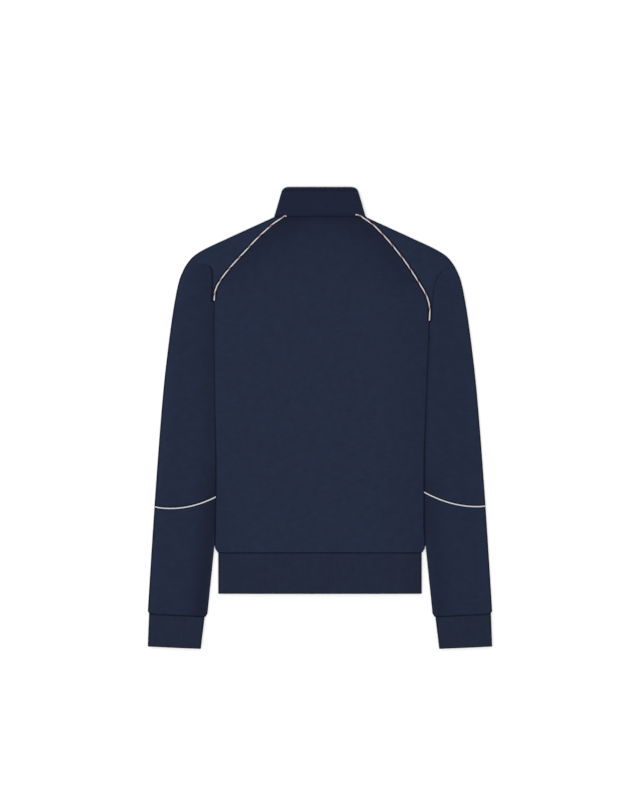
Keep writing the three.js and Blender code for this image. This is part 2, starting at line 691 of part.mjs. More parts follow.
// Collar: a stand collar of two layers, from one zip edge round the neck to the other. Its lower edge is sewn
// to the neckline and its upper edge is free. Each half is taken from the zip to the centre back.
const BACK_COLLAR = [
  { seamX: 74.5, topX: 64.4, topY: 400.6 },
  { seamX: 69, topX: 60.6, topY: 403.4 },
  { seamX: 61, topX: 55, topY: 404.5 },
  { seamX: 42, topX: 38, topY: 404.5 },
  { seamX: 20, topX: 18, topY: 404.5 },
];
const COLLAR_SHARES = [0, 0.04, 0.5, 0.96, 1];
const COLLAR_LOFT = 0.9;
function collarStations() {
  const half = FRONT_COLLAR.slice(0, -1).map((row) => ({ ...row, degrees: -90 }));
  const neckPoint = FRONT_COLLAR[FRONT_COLLAR.length - 1];
  for (const degrees of [-55, 0, 55]) half.push({ ...neckPoint, seamX: 80.5, degrees });
  const atBack = { seamY: COLLAR_SEAM_Y + SEAM / 2, degrees: 90 };
  for (const row of BACK_COLLAR) half.push({ ...row, ...atBack });
  const centre = { seamX: 0, topX: 0, topY: COLLAR_TOP_Y, sign: 1, ...atBack };
  const oneSide = (sign) => half.map((row) => ({ ...row, sign }));
  return [...oneSide(-1), centre, ...oneSide(1).reverse()];
}

function buildCollar() {
  const stations = collarStations();
  const faces = COLLAR_SHARES.map((share) => {
    const atEnd = share === 0 || share === 1;
    return stations.map((s) => {
      const x = s.sign * mix(s.seamX, s.topX, share);
      const y = mix(s.seamY, s.topY, share);
      if (s.degrees === -90) {
        return { outer: [x, y, 0], inner: [x, y, RIB_CLOTH] };
      }
      if (s.degrees === 90) {
        const z = RIB_PRESSED + COLLAR_LOFT * rise((70 - Math.abs(x)) / 40);
        return { outer: [x, y, z - (atEnd ? 1.2 : 0)], inner: [x, y, z - RIB_CLOTH] };
      }
      const nose = foldPoint(x, s.sign, s.degrees, RIB_CLOTH);
      return { outer: [nose.outer.x, y, nose.outer.z], inner: [nose.inner.x, y, nose.inner.z] };
    });
  });
  return clothWall(faces.map((row) => row.map((p) => p.outer)), faces.map((row) => row.map((p) => p.inner)));
}

// A round cord along a smooth curve through points.
function cordGeometry(points, radius, steps) {
  const section = new THREE.Shape();
  for (let i = 0; i < PIPING_SIDES; i++) {
    const angle = ((i + 0.5) / PIPING_SIDES) * 2 * Math.PI;
    const [x, y] = [radius * Math.cos(angle), radius * Math.sin(angle)];
    if (i === 0) section.moveTo(x, y);
    else section.lineTo(x, y);
  }
  section.closePath();
  const path = new THREE.CatmullRomCurve3(points, false, 'centripetal');
  return new THREE.ExtrudeGeometry(section, { steps, bevelEnabled: false, extrudePath: path });
}

// Raglan piping: lies in the seam between the back and the sleeve. Its upper end hooks over the collar seam.
const PIPING_SEAT = 0.1; // centre of the cord above the cloth beside it
function buildRaglanPiping(side) {
  const { raglan } = side.lines;
  const onCollar = RIB_PRESSED + COLLAR_LOFT * rise(0.2) + RAGLAN_PIPING_R + SEAM;
  const inSeam = PRESSED + SLEEVE_LOFT + PIPING_SEAT;
  const points = side.pipingHook.map((p) => new THREE.Vector3(side.sign * p.x, p.y, onCollar));
  for (const y of levels(COLLAR_SEAM_Y, [{ to: side.armpitY + 3, step: 12 }])) {
    points.push(new THREE.Vector3(side.sign * raglan(y), y, inSeam));
  }
  return cordGeometry(points, RAGLAN_PIPING_R, 34);
}

// Forearm piping: lies in the seam across the sleeve, from the body's side to round the sleeve's outer fold.
function buildForearmPiping(side) {
  const { forearm, bodyEdge } = side.lines;
  const startX = bodyEdge(-140) + 0.8;
  const seamY = forearm(235);
  const endX = silhouette(forearm(290));
  const row = sleeveRow(sleeveRowAt(side, seamY), CLOTH, SLEEVE_LOFT).filter((p) => p.layer === 1);
  const surface = row.map((p) => ({ y: p.outer.x, x: p.outer.z }));
  const heightAt = curve(surface.filter((p, i) => i === 0 || p.y > surface[i - 1].y + 0.01));
  const points = [];
  const zones = [
    { to: startX + 12, step: 6 },
    { to: endX - 8, step: 14 },
  ];
  for (const x of [startX, ...levels(startX, zones)]) {
    points.push(new THREE.Vector3(side.sign * x, forearm(x), heightAt(x) + 0.25));
  }
  const round = [
    { in: 2.2, z: PRESSED + 0.2 },
    { in: 0.5, z: PRESSED - 0.7 },
    { in: -0.3, z: PRESSED / 2 },
  ];
  for (const r of round) points.push(new THREE.Vector3(side.sign * (endX - r.in), forearm(endX), r.z));
  return cordGeometry(points, FOREARM_PIPING_R, 26);
}

// Zip: two tapes behind the front edges, the closed teeth, the box at the hem, and the slider at the top.
const TAPE = { innerX: 3.4, outerX: 15, low: RIB_CLOTH + SEAM, thickness: 1 };
const TEETH = { halfWidth: 2.9, low: 2.75, high: 4.5 };
const BOX = { halfWidth: 4.6, height: 11, low: 1.9, high: 4.7, slot: 0.3 };
const SLIDER = {
  halfWidth: 4.4,
  topY: 345,
  length: 11,
  shoulder: 5,
  outerLow: 1.9,
  outerHigh: 2.5,
  innerLow: 4.7,
  innerHigh: 5.2,
};
const SLIDER_POST = { halfWidth: 1.3, length: 3.6 };
const BRIDGE = { halfWidth: 0.9, fromY: 337.6, toY: 344, leg: 0.8, thickness: 0.5, low: 0.1 };
const PULL = {
  pivotY: 341.4,
  pivotZ: 1.25,
  length: 27,
  halfWidth: 2.9,
  eyeHalf: 1.3,
  eyeLength: 5.4,
  bar: 0.8,
};
const PULL_TIP = { halfWidth: 2.4, corner: 0.9, taper: 7 };
const ZIP_BOTTOM_Y = HEM_BOTTOM_Y + 1;
const ZIP_TOP_Y = FRONT_COLLAR_TOP_Y - 1;

function boxAt(x, y, z) {
  const geometry = new THREE.BoxGeometry(x[1] - x[0], y[1] - y[0], z[1] - z[0]);
  return geometry.translate((x[0] + x[1]) / 2, (y[0] + y[1]) / 2, (z[0] + z[1]) / 2);
}

// Cloth tape: behind one front edge, from the hem to the top of the collar.
function buildZipTape(sign) {
  const x = sign < 0 ? [-TAPE.outerX, -TAPE.innerX] : [TAPE.innerX, TAPE.outerX];
  return boxAt(x, [ZIP_BOTTOM_Y, ZIP_TOP_Y], [TAPE.low, TAPE.low + TAPE.thickness]);
}

// Closed teeth: one bar from the box up into the slider, where it ends short of the slider's post.
function buildZipTeeth() {
  const low = ZIP_BOTTOM_Y + BOX.height + SEAM;
  const high = SLIDER.topY - SLIDER_POST.length - SEAM;
  return boxAt([-TEETH.halfWidth, TEETH.halfWidth], [low, high], [TEETH.low, TEETH.high]);
}

// Joins overlapping closed geometries into one.
const wasm = await Module();
wasm.setup();
function joined(geometries) {
  const solids = geometries.map((geometry) => {
    const bare = new THREE.BufferGeometry();
    bare.setAttribute('position', geometry.toNonIndexed().getAttribute('position'));
    const merged = mergeVertices(bare);
    const vertProperties = merged.getAttribute('position').array;
    const triVerts = new Uint32Array(merged.index.array);
    return new wasm.Manifold(new wasm.Mesh({ numProp: 3, vertProperties, triVerts }));
  });
  const mesh = solids.reduce((whole, solid) => whole.add(solid)).getMesh();
  const geometry = new THREE.BufferGeometry();
  geometry.setAttribute('position', new THREE.Float32BufferAttribute(mesh.vertProperties, 3));
  geometry.setIndex([...mesh.triVerts]);
  return geometry;
}

// Retainer box at the foot of the zip: two plates with a wall between them, open to the tapes at its sides.
function buildZipBox() {
  const y = [ZIP_BOTTOM_Y, ZIP_BOTTOM_Y + BOX.height];
  const x = [-BOX.halfWidth, BOX.halfWidth];
  const inside = TAPE.innerX - BOX.slot;
  return joined([
    boxAt(x, y, [BOX.low, TAPE.low - BOX.slot]),
    boxAt(x, y, [TAPE.low + TAPE.thickness + BOX.slot, BOX.high]),
    boxAt([-inside, inside], y, [BOX.low, BOX.high]),
  ]);
}

// Slider: two plates held by a post above the teeth, with a bridge for the pull on the outer one.
function buildZipSlider() {
  const low = SLIDER.topY - SLIDER.length;
  const wide = [-SLIDER.halfWidth, SLIDER.halfWidth];
  const narrow = [-SLIDER.halfWidth * 0.8, SLIDER.halfWidth * 0.8];
  const postX = [-SLIDER_POST.halfWidth, SLIDER_POST.halfWidth];
  const postY = [SLIDER.topY - SLIDER_POST.length, SLIDER.topY];
  const bridgeX = [-BRIDGE.halfWidth, BRIDGE.halfWidth];
  const legZ = [BRIDGE.low, SLIDER.outerHigh];
  const plates = [
    [SLIDER.outerLow, SLIDER.outerHigh],
    [SLIDER.innerLow, SLIDER.innerHigh],
  ];
  return joined([
    ...plates.map((z) => boxAt(wide, [low + SLIDER.shoulder, SLIDER.topY], z)),
    ...plates.map((z) => boxAt(narrow, [low, SLIDER.topY], z)),
    boxAt(postX, postY, [SLIDER.outerLow, SLIDER.innerHigh]),
    boxAt(bridgeX, [BRIDGE.fromY, BRIDGE.fromY + BRIDGE.leg], legZ),
    boxAt(bridgeX, [BRIDGE.toY - BRIDGE.leg, BRIDGE.toY], legZ),
    boxAt(bridgeX, [BRIDGE.fromY, BRIDGE.toY], [BRIDGE.low, BRIDGE.low + BRIDGE.thickness]),
  ]);
}

// Pull: a flat metal tab whose eye goes round the slider's bridge. It hinges on the eye's upper bar.
function buildZipPull() {
  const { halfWidth, length, eyeHalf, eyeLength, bar } = PULL;
  const top = bar / 2;
  const tip = top - length;
  const outline = new THREE.Shape();
  outline.moveTo(-halfWidth, top);
  outline.lineTo(-halfWidth, tip + PULL_TIP.taper);
  outline.lineTo(-PULL_TIP.halfWidth, tip + PULL_TIP.corner);
  outline.lineTo(-PULL_TIP.halfWidth + PULL_TIP.corner, tip);
  outline.lineTo(PULL_TIP.halfWidth - PULL_TIP.corner, tip);
  outline.lineTo(PULL_TIP.halfWidth, tip + PULL_TIP.corner);
  outline.lineTo(halfWidth, tip + PULL_TIP.taper);
  outline.lineTo(halfWidth, top);
  outline.closePath();
  const eye = new THREE.Path();
  eye.moveTo(-eyeHalf, top - bar);
  eye.lineTo(eyeHalf, top - bar);
  eye.lineTo(eyeHalf, top - bar - eyeLength);
  eye.lineTo(-eyeHalf, top - bar - eyeLength);
  eye.closePath();
  outline.holes.push(eye);
  const geometry = new THREE.ExtrudeGeometry(outline, { depth: bar, bevelEnabled: false });
  return geometry.translate(0, PULL.pivotY, PULL.pivotZ - bar / 2);
}

addPiece('back_panel', buildBackPanel(), NAVY);
addPiece('front_panel_left', buildFrontPanel(LEFT), NAVY);
addPiece('front_panel_right', buildFrontPanel(RIGHT), NAVY);
addPiece('sleeve_upper_left', buildSleeveUpper(LEFT), NAVY);
addPiece('sleeve_upper_right', buildSleeveUpper(RIGHT), NAVY);
addPiece('sleeve_lower_left', buildSleeveLower(LEFT), NAVY);
addPiece('sleeve_lower_right', buildSleeveLower(RIGHT), NAVY);
addPiece('cuff_left', buildCuff(LEFT), RIB_NAVY);
addPiece('cuff_right', buildCuff(RIGHT), RIB_NAVY);
addPiece('hem_band', buildHemBand(), RIB_NAVY);
addPiece('collar', buildCollar(), NAVY);
addPiece('raglan_piping_left', buildRaglanPiping(LEFT), WHITE, 0.7);
addPiece('raglan_piping_right', buildRaglanPiping(RIGHT), WHITE, 0.7);
addPiece('forearm_piping_left', buildForearmPiping(LEFT), WHITE, 0.7);
addPiece('forearm_piping_right', buildForearmPiping(RIGHT), WHITE, 0.7);
addPiece('zip_tape_left', buildZipTape(-1), ZIP_NAVY);
addPiece('zip_tape_right', buildZipTape(1), ZIP_NAVY);
addPiece('zip_teeth', buildZipTeeth(), ZIP_NAVY, 0.5);
addPiece('zip_box', buildZipBox(), ZIP_NAVY, 0.5);
addPiece('zip_slider', buildZipSlider(), METAL, 0.35, 0.9);
addPiece('zip_pull', buildZipPull(), METAL, 0.35, 0.9);

export default jacket;
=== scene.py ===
import math

import bmesh
import bpy
import numpy as np
from mathutils import Matrix, Vector


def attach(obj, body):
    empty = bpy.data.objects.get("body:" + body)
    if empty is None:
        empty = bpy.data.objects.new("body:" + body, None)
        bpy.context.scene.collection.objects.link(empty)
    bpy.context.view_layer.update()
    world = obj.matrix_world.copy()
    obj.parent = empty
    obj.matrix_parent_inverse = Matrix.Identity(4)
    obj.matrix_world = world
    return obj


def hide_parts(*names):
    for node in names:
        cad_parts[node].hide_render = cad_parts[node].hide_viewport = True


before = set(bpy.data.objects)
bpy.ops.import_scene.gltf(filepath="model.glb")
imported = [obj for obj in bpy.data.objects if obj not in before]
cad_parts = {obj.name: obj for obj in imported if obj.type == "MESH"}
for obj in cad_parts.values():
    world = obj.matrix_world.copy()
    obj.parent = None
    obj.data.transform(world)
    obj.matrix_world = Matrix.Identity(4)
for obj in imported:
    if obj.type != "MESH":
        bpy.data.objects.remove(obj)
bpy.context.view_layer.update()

# The floor: a plain white sweep under the jacket, which lies flat on it with its back up.
# Two soft boxes, overhead and at the upper left, and an even white surround light it.
FLOOR_HALF_WIDTH = 12
FLOOR_CLEARANCE = 0.0002


def new_material(name):
    """A new material, with its nodes, its links and its principled shader."""
    material = bpy.data.materials.new(name)
    material.use_nodes = True
    nodes = material.node_tree.nodes
    return material, nodes, material.node_tree.links, nodes["Principled BSDF"]


def placed(name, shape, material):
    """Makes an object of a bmesh and puts it in the scene."""
    mesh = bpy.data.meshes.new(name)
    shape.to_mesh(mesh)
    shape.free()
    mesh.materials.append(material)
    piece = bpy.data.objects.new(name, mesh)
    bpy.context.scene.collection.objects.link(piece)
    return piece


def set_inputs(node, values):
    """Sets a node's inputs by their names."""
    for name, value in values.items():
        node.inputs[name].default_value = value


sweep = bmesh.new()
bmesh.ops.create_grid(sweep, x_segments=2, y_segments=2, size=FLOOR_HALF_WIDTH)
bmesh.ops.translate(sweep, verts=sweep.verts, vec=(0, 0, -FLOOR_CLEARANCE))
white_sweep, _, _, paint = new_material("white_sweep")
set_inputs(paint, {"Base Color": (0.93, 0.93, 0.93, 1), "Roughness": 0.9})
placed("floor", sweep, white_sweep)

surround = bpy.data.worlds.new("even_white")
surround.use_nodes = True
set_inputs(surround.node_tree.nodes["Background"], {"Color": (1, 1, 1, 1), "Strength": 0.7})
bpy.context.scene.world = surround

for lamp_name, place, size, watts in (
    ("overhead_softbox", (0.0, -0.3, 2.4), 1.3, 29),
    ("upper_left_softbox", (-1.9, 1.6, 1.3), 0.9, 16),
):
    lamp = bpy.data.lights.new(lamp_name, "AREA")
    lamp.size = size
    lamp.energy = watts
    holder = bpy.data.objects.new(lamp_name, lamp)
    holder.location = place
    holder.rotation_euler = (-Vector(place)).to_track_quat("-Z", "Y").to_euler()
    bpy.context.scene.collection.objects.link(holder)

# The camera looks straight down, as the photograph does, with the hem at the bottom.
picture_height = 1.4035
picture_centre_y = 0.0315
camera_data = bpy.data.cameras.new("camera")
camera_data.lens = 85
camera_data.sensor_width = 36
camera = bpy.data.objects.new("camera", camera_data)
camera.location = (0, picture_centre_y, picture_height * camera_data.lens / camera_data.sensor_width)
bpy.context.scene.collection.objects.link(camera)
bpy.context.scene.camera = camera
bpy.context.scene.view_settings.view_transform = "Standard"

# The jersey: navy double-knit cloth, cut for the body, the sleeves and the collar. Its face is fine upright
# wales of small V stitches, slightly uneven across, so that it looks faintly streaked and clouded.
def wired(nodes, links, kind, values, vector=None):
    """A node fed with the piece's own coordinates, or with a given vector."""
    node = nodes.new("ShaderNode" + kind)
    links.new(vector or nodes.new("ShaderNodeTexCoord").outputs["Object"], node.inputs["Vector"])
    set_inputs(node, values)
    return node


def knit_group():
    """Height and streaks of a knitted face, from wales and courses of a given pitch in metres."""
    tree = bpy.data.node_groups.new("knitted_face", "ShaderNodeTree")
    for name, value in (("Wale Pitch", 0.0012), ("Course Pitch", 0.0009), ("Streak", 0.5)):
        tree.interface.new_socket(name, in_out="INPUT", socket_type="NodeSocketFloat").default_value = value
    for name in ("Height", "Tone"):
        tree.interface.new_socket(name, in_out="OUTPUT", socket_type="NodeSocketFloat")
    nodes, links = tree.nodes, tree.links
    given, result = nodes.new("NodeGroupInput"), nodes.new("NodeGroupOutput")
    split = wired(nodes, links, "SeparateXYZ", {})

    def step(operation, first, second=None, third=None):
        node = nodes.new("ShaderNodeMath")
        node.operation = operation
        for socket, value in zip(node.inputs, (first, second, third)):
            if value is None:
                continue
            if isinstance(value, (int, float)):
                socket.default_value = value
            else:
                links.new(value, socket)
        return node.outputs[0]

    wale = step("DIVIDE", split.outputs["X"], given.outputs["Wale Pitch"])
    course = step("DIVIDE", split.outputs["Y"], given.outputs["Course Pitch"])
    across = step("PINGPONG", wale, 0.5)
    rounded = step("SINE", step("MULTIPLY", across, math.pi))
    leaning = step("ADD", course, across)
    beads = step("SINE", step("MULTIPLY", leaning, 2 * math.pi))
    links.new(step("MULTIPLY", rounded, step("MULTIPLY_ADD", beads, 0.3, 0.7)), result.inputs["Height"])
    stretch = wired(nodes, links, "Mapping", {"Scale": (13, 75, 40)})
    long_noise = {"Scale": 6, "Detail": 5, "Roughness": 0.65}
    streaks = wired(nodes, links, "TexNoise", long_noise, stretch.outputs[0])
    cloud = wired(nodes, links, "TexNoise", {"Scale": 85, "Detail": 4, "Roughness": 0.6})
    even = step("SUBTRACT", streaks.outputs["Fac"], 0.5)
    soft = step("SUBTRACT", cloud.outputs["Fac"], 0.5)
    both = step("MULTIPLY_ADD", even, given.outputs["Streak"], step("MULTIPLY", soft, 0.7))
    links.new(step("ADD", both, 0.5), result.inputs["Tone"])
    return tree


knitted_face = knit_group()


def two_tones(nodes, links, dark, light, factor):
    """A colour between two tones, by another node's factor."""
    tone = nodes.new("ShaderNodeMix")
    tone.data_type = "RGBA"
    set_inputs(tone, {"A": (*dark, 1), "B": (*light, 1)})
    links.new(factor, tone.inputs["Factor"])
    return tone.outputs["Result"]


def add_relief(nodes, links, shader, height, strength, depth=0.0002):
    """Raises and lowers a face by another node's height, over a depth in metres."""
    raised = nodes.new("ShaderNodeBump")
    set_inputs(raised, {"Strength": strength, "Distance": depth})
    links.new(height, raised.inputs["Height"])
    links.new(raised.outputs["Normal"], shader.inputs["Normal"])


def cloth_material(name, dark, light, wale=0.0012, course=0.0009, streak=0.8, bump=0.35):
    """Knitted cloth that varies between two near tones of navy, darker where shade is painted on it."""
    material, nodes, links, shader = new_material(name)
    knit = nodes.new("ShaderNodeGroup")
    knit.node_tree = knitted_face
    set_inputs(knit, {"Wale Pitch": wale, "Course Pitch": course, "Streak": streak})
    # painted shade: the colour is mixed towards near black by the shade painted on the piece's points
    shade_paint = nodes.new("ShaderNodeAttribute")
    shade_paint.attribute_name = "painted_shade"
    painted_shading = nodes.new("ShaderNodeMix")
    painted_shading.data_type = "RGBA"
    painted_shading.inputs["B"].default_value = (dark[0] * 0.1, dark[1] * 0.1, dark[2] * 0.12, 1)
    links.new(shade_paint.outputs["Fac"], painted_shading.inputs["Factor"])
    links.new(two_tones(nodes, links, dark, light, knit.outputs["Tone"]), painted_shading.inputs["A"])
    links.new(painted_shading.outputs["Result"], shader.inputs["Base Color"])
    add_relief(nodes, links, shader, knit.outputs["Height"], bump)
    set_inputs(shader, {"Roughness": 0.85, "Specular IOR Level": 0.12})
    set_inputs(shader, {"Sheen Weight": 0.04, "Sheen Roughness": 0.5, "Sheen Tint": (0.4, 0.45, 0.7, 1)})
    return material


jersey = cloth_material("navy_jersey", (0.0067, 0.0110, 0.0258), (0.0143, 0.0225, 0.0532))

# The back: one jersey panel from the hem band to the collar, cut with raglan armholes. Its sides lie over the
# sleeves, and its lower edge is eased into the tighter hem band, which makes it stand a little proud there.
# From here on the shapes are in millimetres, and y runs up the jacket from the middle of its length.
MM = 0.001
CLOTH = 1.8
FOLD_GAP = 0.6
PRESSED = 2 * CLOTH + FOLD_GAP  # the height of two layers of cloth at a pressed fold
WELD_DISTANCE = 0.02


def table_curve(rows):
    """A smooth curve through (y, x) rows that never overshoots them, as a function of y."""
    ys, xs = (np.array(column, float) for column in zip(*sorted(rows)))
    slopes = np.diff(xs) / np.diff(ys)
    before, after = slopes[:-1], slopes[1:]
    total = before + after
    middle = np.where(before * after > 0, 2 * before * after / np.where(total == 0, 1, total), 0)
    tangents = np.concatenate(([slopes[0]], middle, [slopes[-1]]))

    def x_at(y):
        y = np.clip(y, ys[0], ys[-1])
        i = np.clip(np.searchsorted(ys, y) - 1, 0, len(ys) - 2)
        span = ys[i + 1] - ys[i]
        t = (y - ys[i]) / span
        low = (1 + 2 * t) * (1 - t) ** 2 * xs[i] + t * (1 - t) ** 2 * span * tangents[i]
        return low + t**2 * (3 - 2 * t) * xs[i + 1] - t**2 * (1 - t) * span * tangents[i + 1]

    return x_at


def share(start, end, value):
    """How far a value is on its way from start to end, from 0 to 1."""
    return np.clip((value - start) / (end - start), 0, 1)


def ease(t):
    """Slow at both ends."""
    t = np.clip(t, 0, 1)
    return t * t * (3 - 2 * t)


def eased(start, end, value):
    """The same share, slow at both ends."""
    return ease(share(start, end, value))


def rise(t):
    """Steep at first, then level."""
    return 1 - (1 - np.clip(t, 0, 1)) ** 3


def blend(a, b, t):
    """Between a and b, by a share t."""
    return a + (b - a) * t


def sewn_sheet(name, across, down, place, material, thickness, weld=False, inside_out=False):
    """A cloth piece: a grid laid out by place(u, v) and given its thickness inwards.

    place may also give the shade painted on the cloth, from 0 to 1. A piece that closes on itself is welded.
    """
    sheet = bmesh.new()
    bmesh.ops.create_grid(sheet, x_segments=across, y_segments=down, size=1)
    sheet.verts.ensure_lookup_table()
    u = np.array([(vert.co.x + 1) / 2 for vert in sheet.verts])
    v = np.array([(vert.co.y + 1) / 2 for vert in sheet.verts])
    x, y, z, *shade_paint = place(u, v)
    painted_shading = np.broadcast_to(shade_paint[0] if shade_paint else 0.0, u.shape)
    # the painted shade is kept on each point, for the cloth's colour to darken by
    layer = sheet.verts.layers.float.new("painted_shade")
    for vert, point, depth in zip(sheet.verts, np.stack((x, y, z), axis=1) * MM, painted_shading):
        vert.co = point
        vert[layer] = depth
    if weld:
        bmesh.ops.remove_doubles(sheet, verts=sheet.verts, dist=WELD_DISTANCE * MM)
    if not thickness:
        bmesh.ops.recalc_face_normals(sheet, faces=sheet.faces)
    if inside_out:
        bmesh.ops.reverse_faces(sheet, faces=sheet.faces)
    piece = placed(name, sheet, material)
    piece.data.polygons.foreach_set("use_smooth", [True] * len(piece.data.polygons))
    if thickness:
        wall = piece.modifiers.new("cloth_thickness", "SOLIDIFY")
        wall.thickness = thickness * MM
        wall.offset = -1
        wall.use_even_offset = False
    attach(piece, "jacket")
    return piece


COLLAR_SEAM_Y = 352
HEM_SEAM_Y = -236.2
HEM_HALF_WIDTH = 178.3
RAGLAN_CORD_R = 1.4  # half the width that the seam opens for its cord
# How the pieces lie on each side, which isn't quite alike. "raglan", "fold" and "body_edge" are rows of a
# height and a distance from the centre line, "fold" where the sleeve turns down. "forearm" is that seam's
# lowest point and bend, and "hook" the raglan cord's end on the collar. "crease" and "shade" are how much
# shade is painted on the sleeve at its fold, and beside it at the upper arm and at the forearm.
SIDES = {
    "left": {
        "sign": -1,
        "armpit_y": 204.8,
        "fold_top_y": 273.5,
        "fold_full_y": 265.5,
        "raglan": table_curve([
            (352, 64.6), (339.5, 82.6), (329, 94.7), (315, 109.7), (294, 129.3), (273, 148.8), (252, 166.6),
            (231, 180.3), (220.5, 184.1), (204.8, 185.4),
        ]),
        "fold": table_curve([
            (352, 74.5), (315, 138), (294, 172), (281, 201), (273, 208), (269, 203), (265, 191.4),
            (260, 188.6), (250, 187.4), (204.8, 187.2),
        ]),
        "body_edge": table_curve([
            (204.8, 185.4), (118, 185), (14, 183.8), (-91, 182), (-190, 183.2), (-222, 184.5), (-229, 183.4),
            (-233, 181.2), (-236.2, 178.8),
        ]),
        "forearm": (262, -158.4, 0.00318),
        "crease": 0.7,
        "shade": (0.15, 0.42),
        "hook": [(58.2, 353.2), (62, 353.1), (65.2, 351.4)],
    },
    "right": {
        "sign": 1,
        "armpit_y": 169.8,
        "fold_top_y": 268,
        "fold_full_y": 255,
        "raglan": table_curve([
            (352, 73.2), (346.5, 82.4), (336, 95.4), (315, 115.9), (294, 133.5), (273, 149.8), (252, 163.8),
            (231, 176.9), (210, 188.1), (192.5, 192), (180, 192.2), (169.8, 191.4),
        ]),
        "fold": table_curve([
            (352, 78), (315, 140), (294, 176), (278, 212), (266, 223), (257.3, 213.3), (246.8, 205.3),
            (230, 199.5), (211.8, 197.2), (192.5, 195.6), (169.8, 194),
        ]),
        "body_edge": table_curve([
            (169.8, 191.4), (118, 189), (14, 185), (-91, 182), (-190, 182), (-222, 184.5), (-229, 183.4),
            (-233, 181.2), (-236.2, 178.8),
        ]),
        "forearm": (275, -155.2, 0.00294),
        "crease": 0.22,
        "shade": (0.0, 0.22),
        "hook": [(61.8, 355.7), (66, 355.8), (70, 354)],
    },
}
CLEAR_X, CLEAR_Y = 184.9, -222  # where the sleeve's inner edge comes out from under the body's side
TUCK_BELOW_ARMPIT = 30
TUCKED_HEIGHT = PRESSED + 0.3
SLEEVE_LOFT = 2.4
EDGE_RISE = 28  # the distance from an edge within which the cloth comes to its full height
TURNED_IN = 1.9  # how far down an edge goes that is turned in under another piece
NECK_ROWS = (5.2, 10.4)


def inner_edge(side, y):
    """The sleeve's inner edge: it slants out below the body, and is tucked under the body's side above."""
    tuck_start = side["armpit_y"] - TUCK_BELOW_ARMPIT
    tucked = eased(tuck_start, tuck_start - 45, y) * eased(-192, -165, y)
    above = blend(side["body_edge"](y) - 0.4, CLEAR_X - 0.104 * (y - CLEAR_Y), tucked)
    below = CLEAR_X + 0.1023 * (CLEAR_Y - y) - 0.8 * eased(CLEAR_Y - 4, CLEAR_Y, y)
    return np.where(y < CLEAR_Y, below, above)


def body_lift(side, x, y, reach):
    """How far the body's side is lifted off the floor by the sleeve that is tucked under it."""
    tuck_start = side["armpit_y"] - TUCK_BELOW_ARMPIT
    carried = eased(tuck_start + 22, tuck_start + 2, y) * eased(-214, -194, y)
    start = inner_edge(side, y) - reach
    return TUCKED_HEIGHT * carried * ease((x - start) / (reach - 3))


def rolled(distance, thickness):
    """How far a cloth edge has rolled down at a distance from the edge."""
    t = np.clip(distance / thickness, 0, 1)
    return np.minimum(thickness * (1 - np.sqrt(1 - (1 - t) ** 2)), thickness - 0.4)


def cord_room(side, y):
    """How far from the raglan seam's line the cloth ends, along x, to leave room for the cord."""
    raglan = side["raglan"]
    return (RAGLAN_CORD_R - 0.05) * np.hypot(1, raglan(y + 0.5) - raglan(y - 0.5))


def unevenness(x, y, height=0.22):
    """Slow shallow waves that keep hand-smoothed cloth from lying dead flat."""
    broad = np.sin(x / 37 + y / 61 + 1.3) + 0.7 * np.sin(y / 43 - x / 90 + 0.4)
    return height * (broad + 0.5 * np.sin(x / 19 - y / 140 + 2.1))


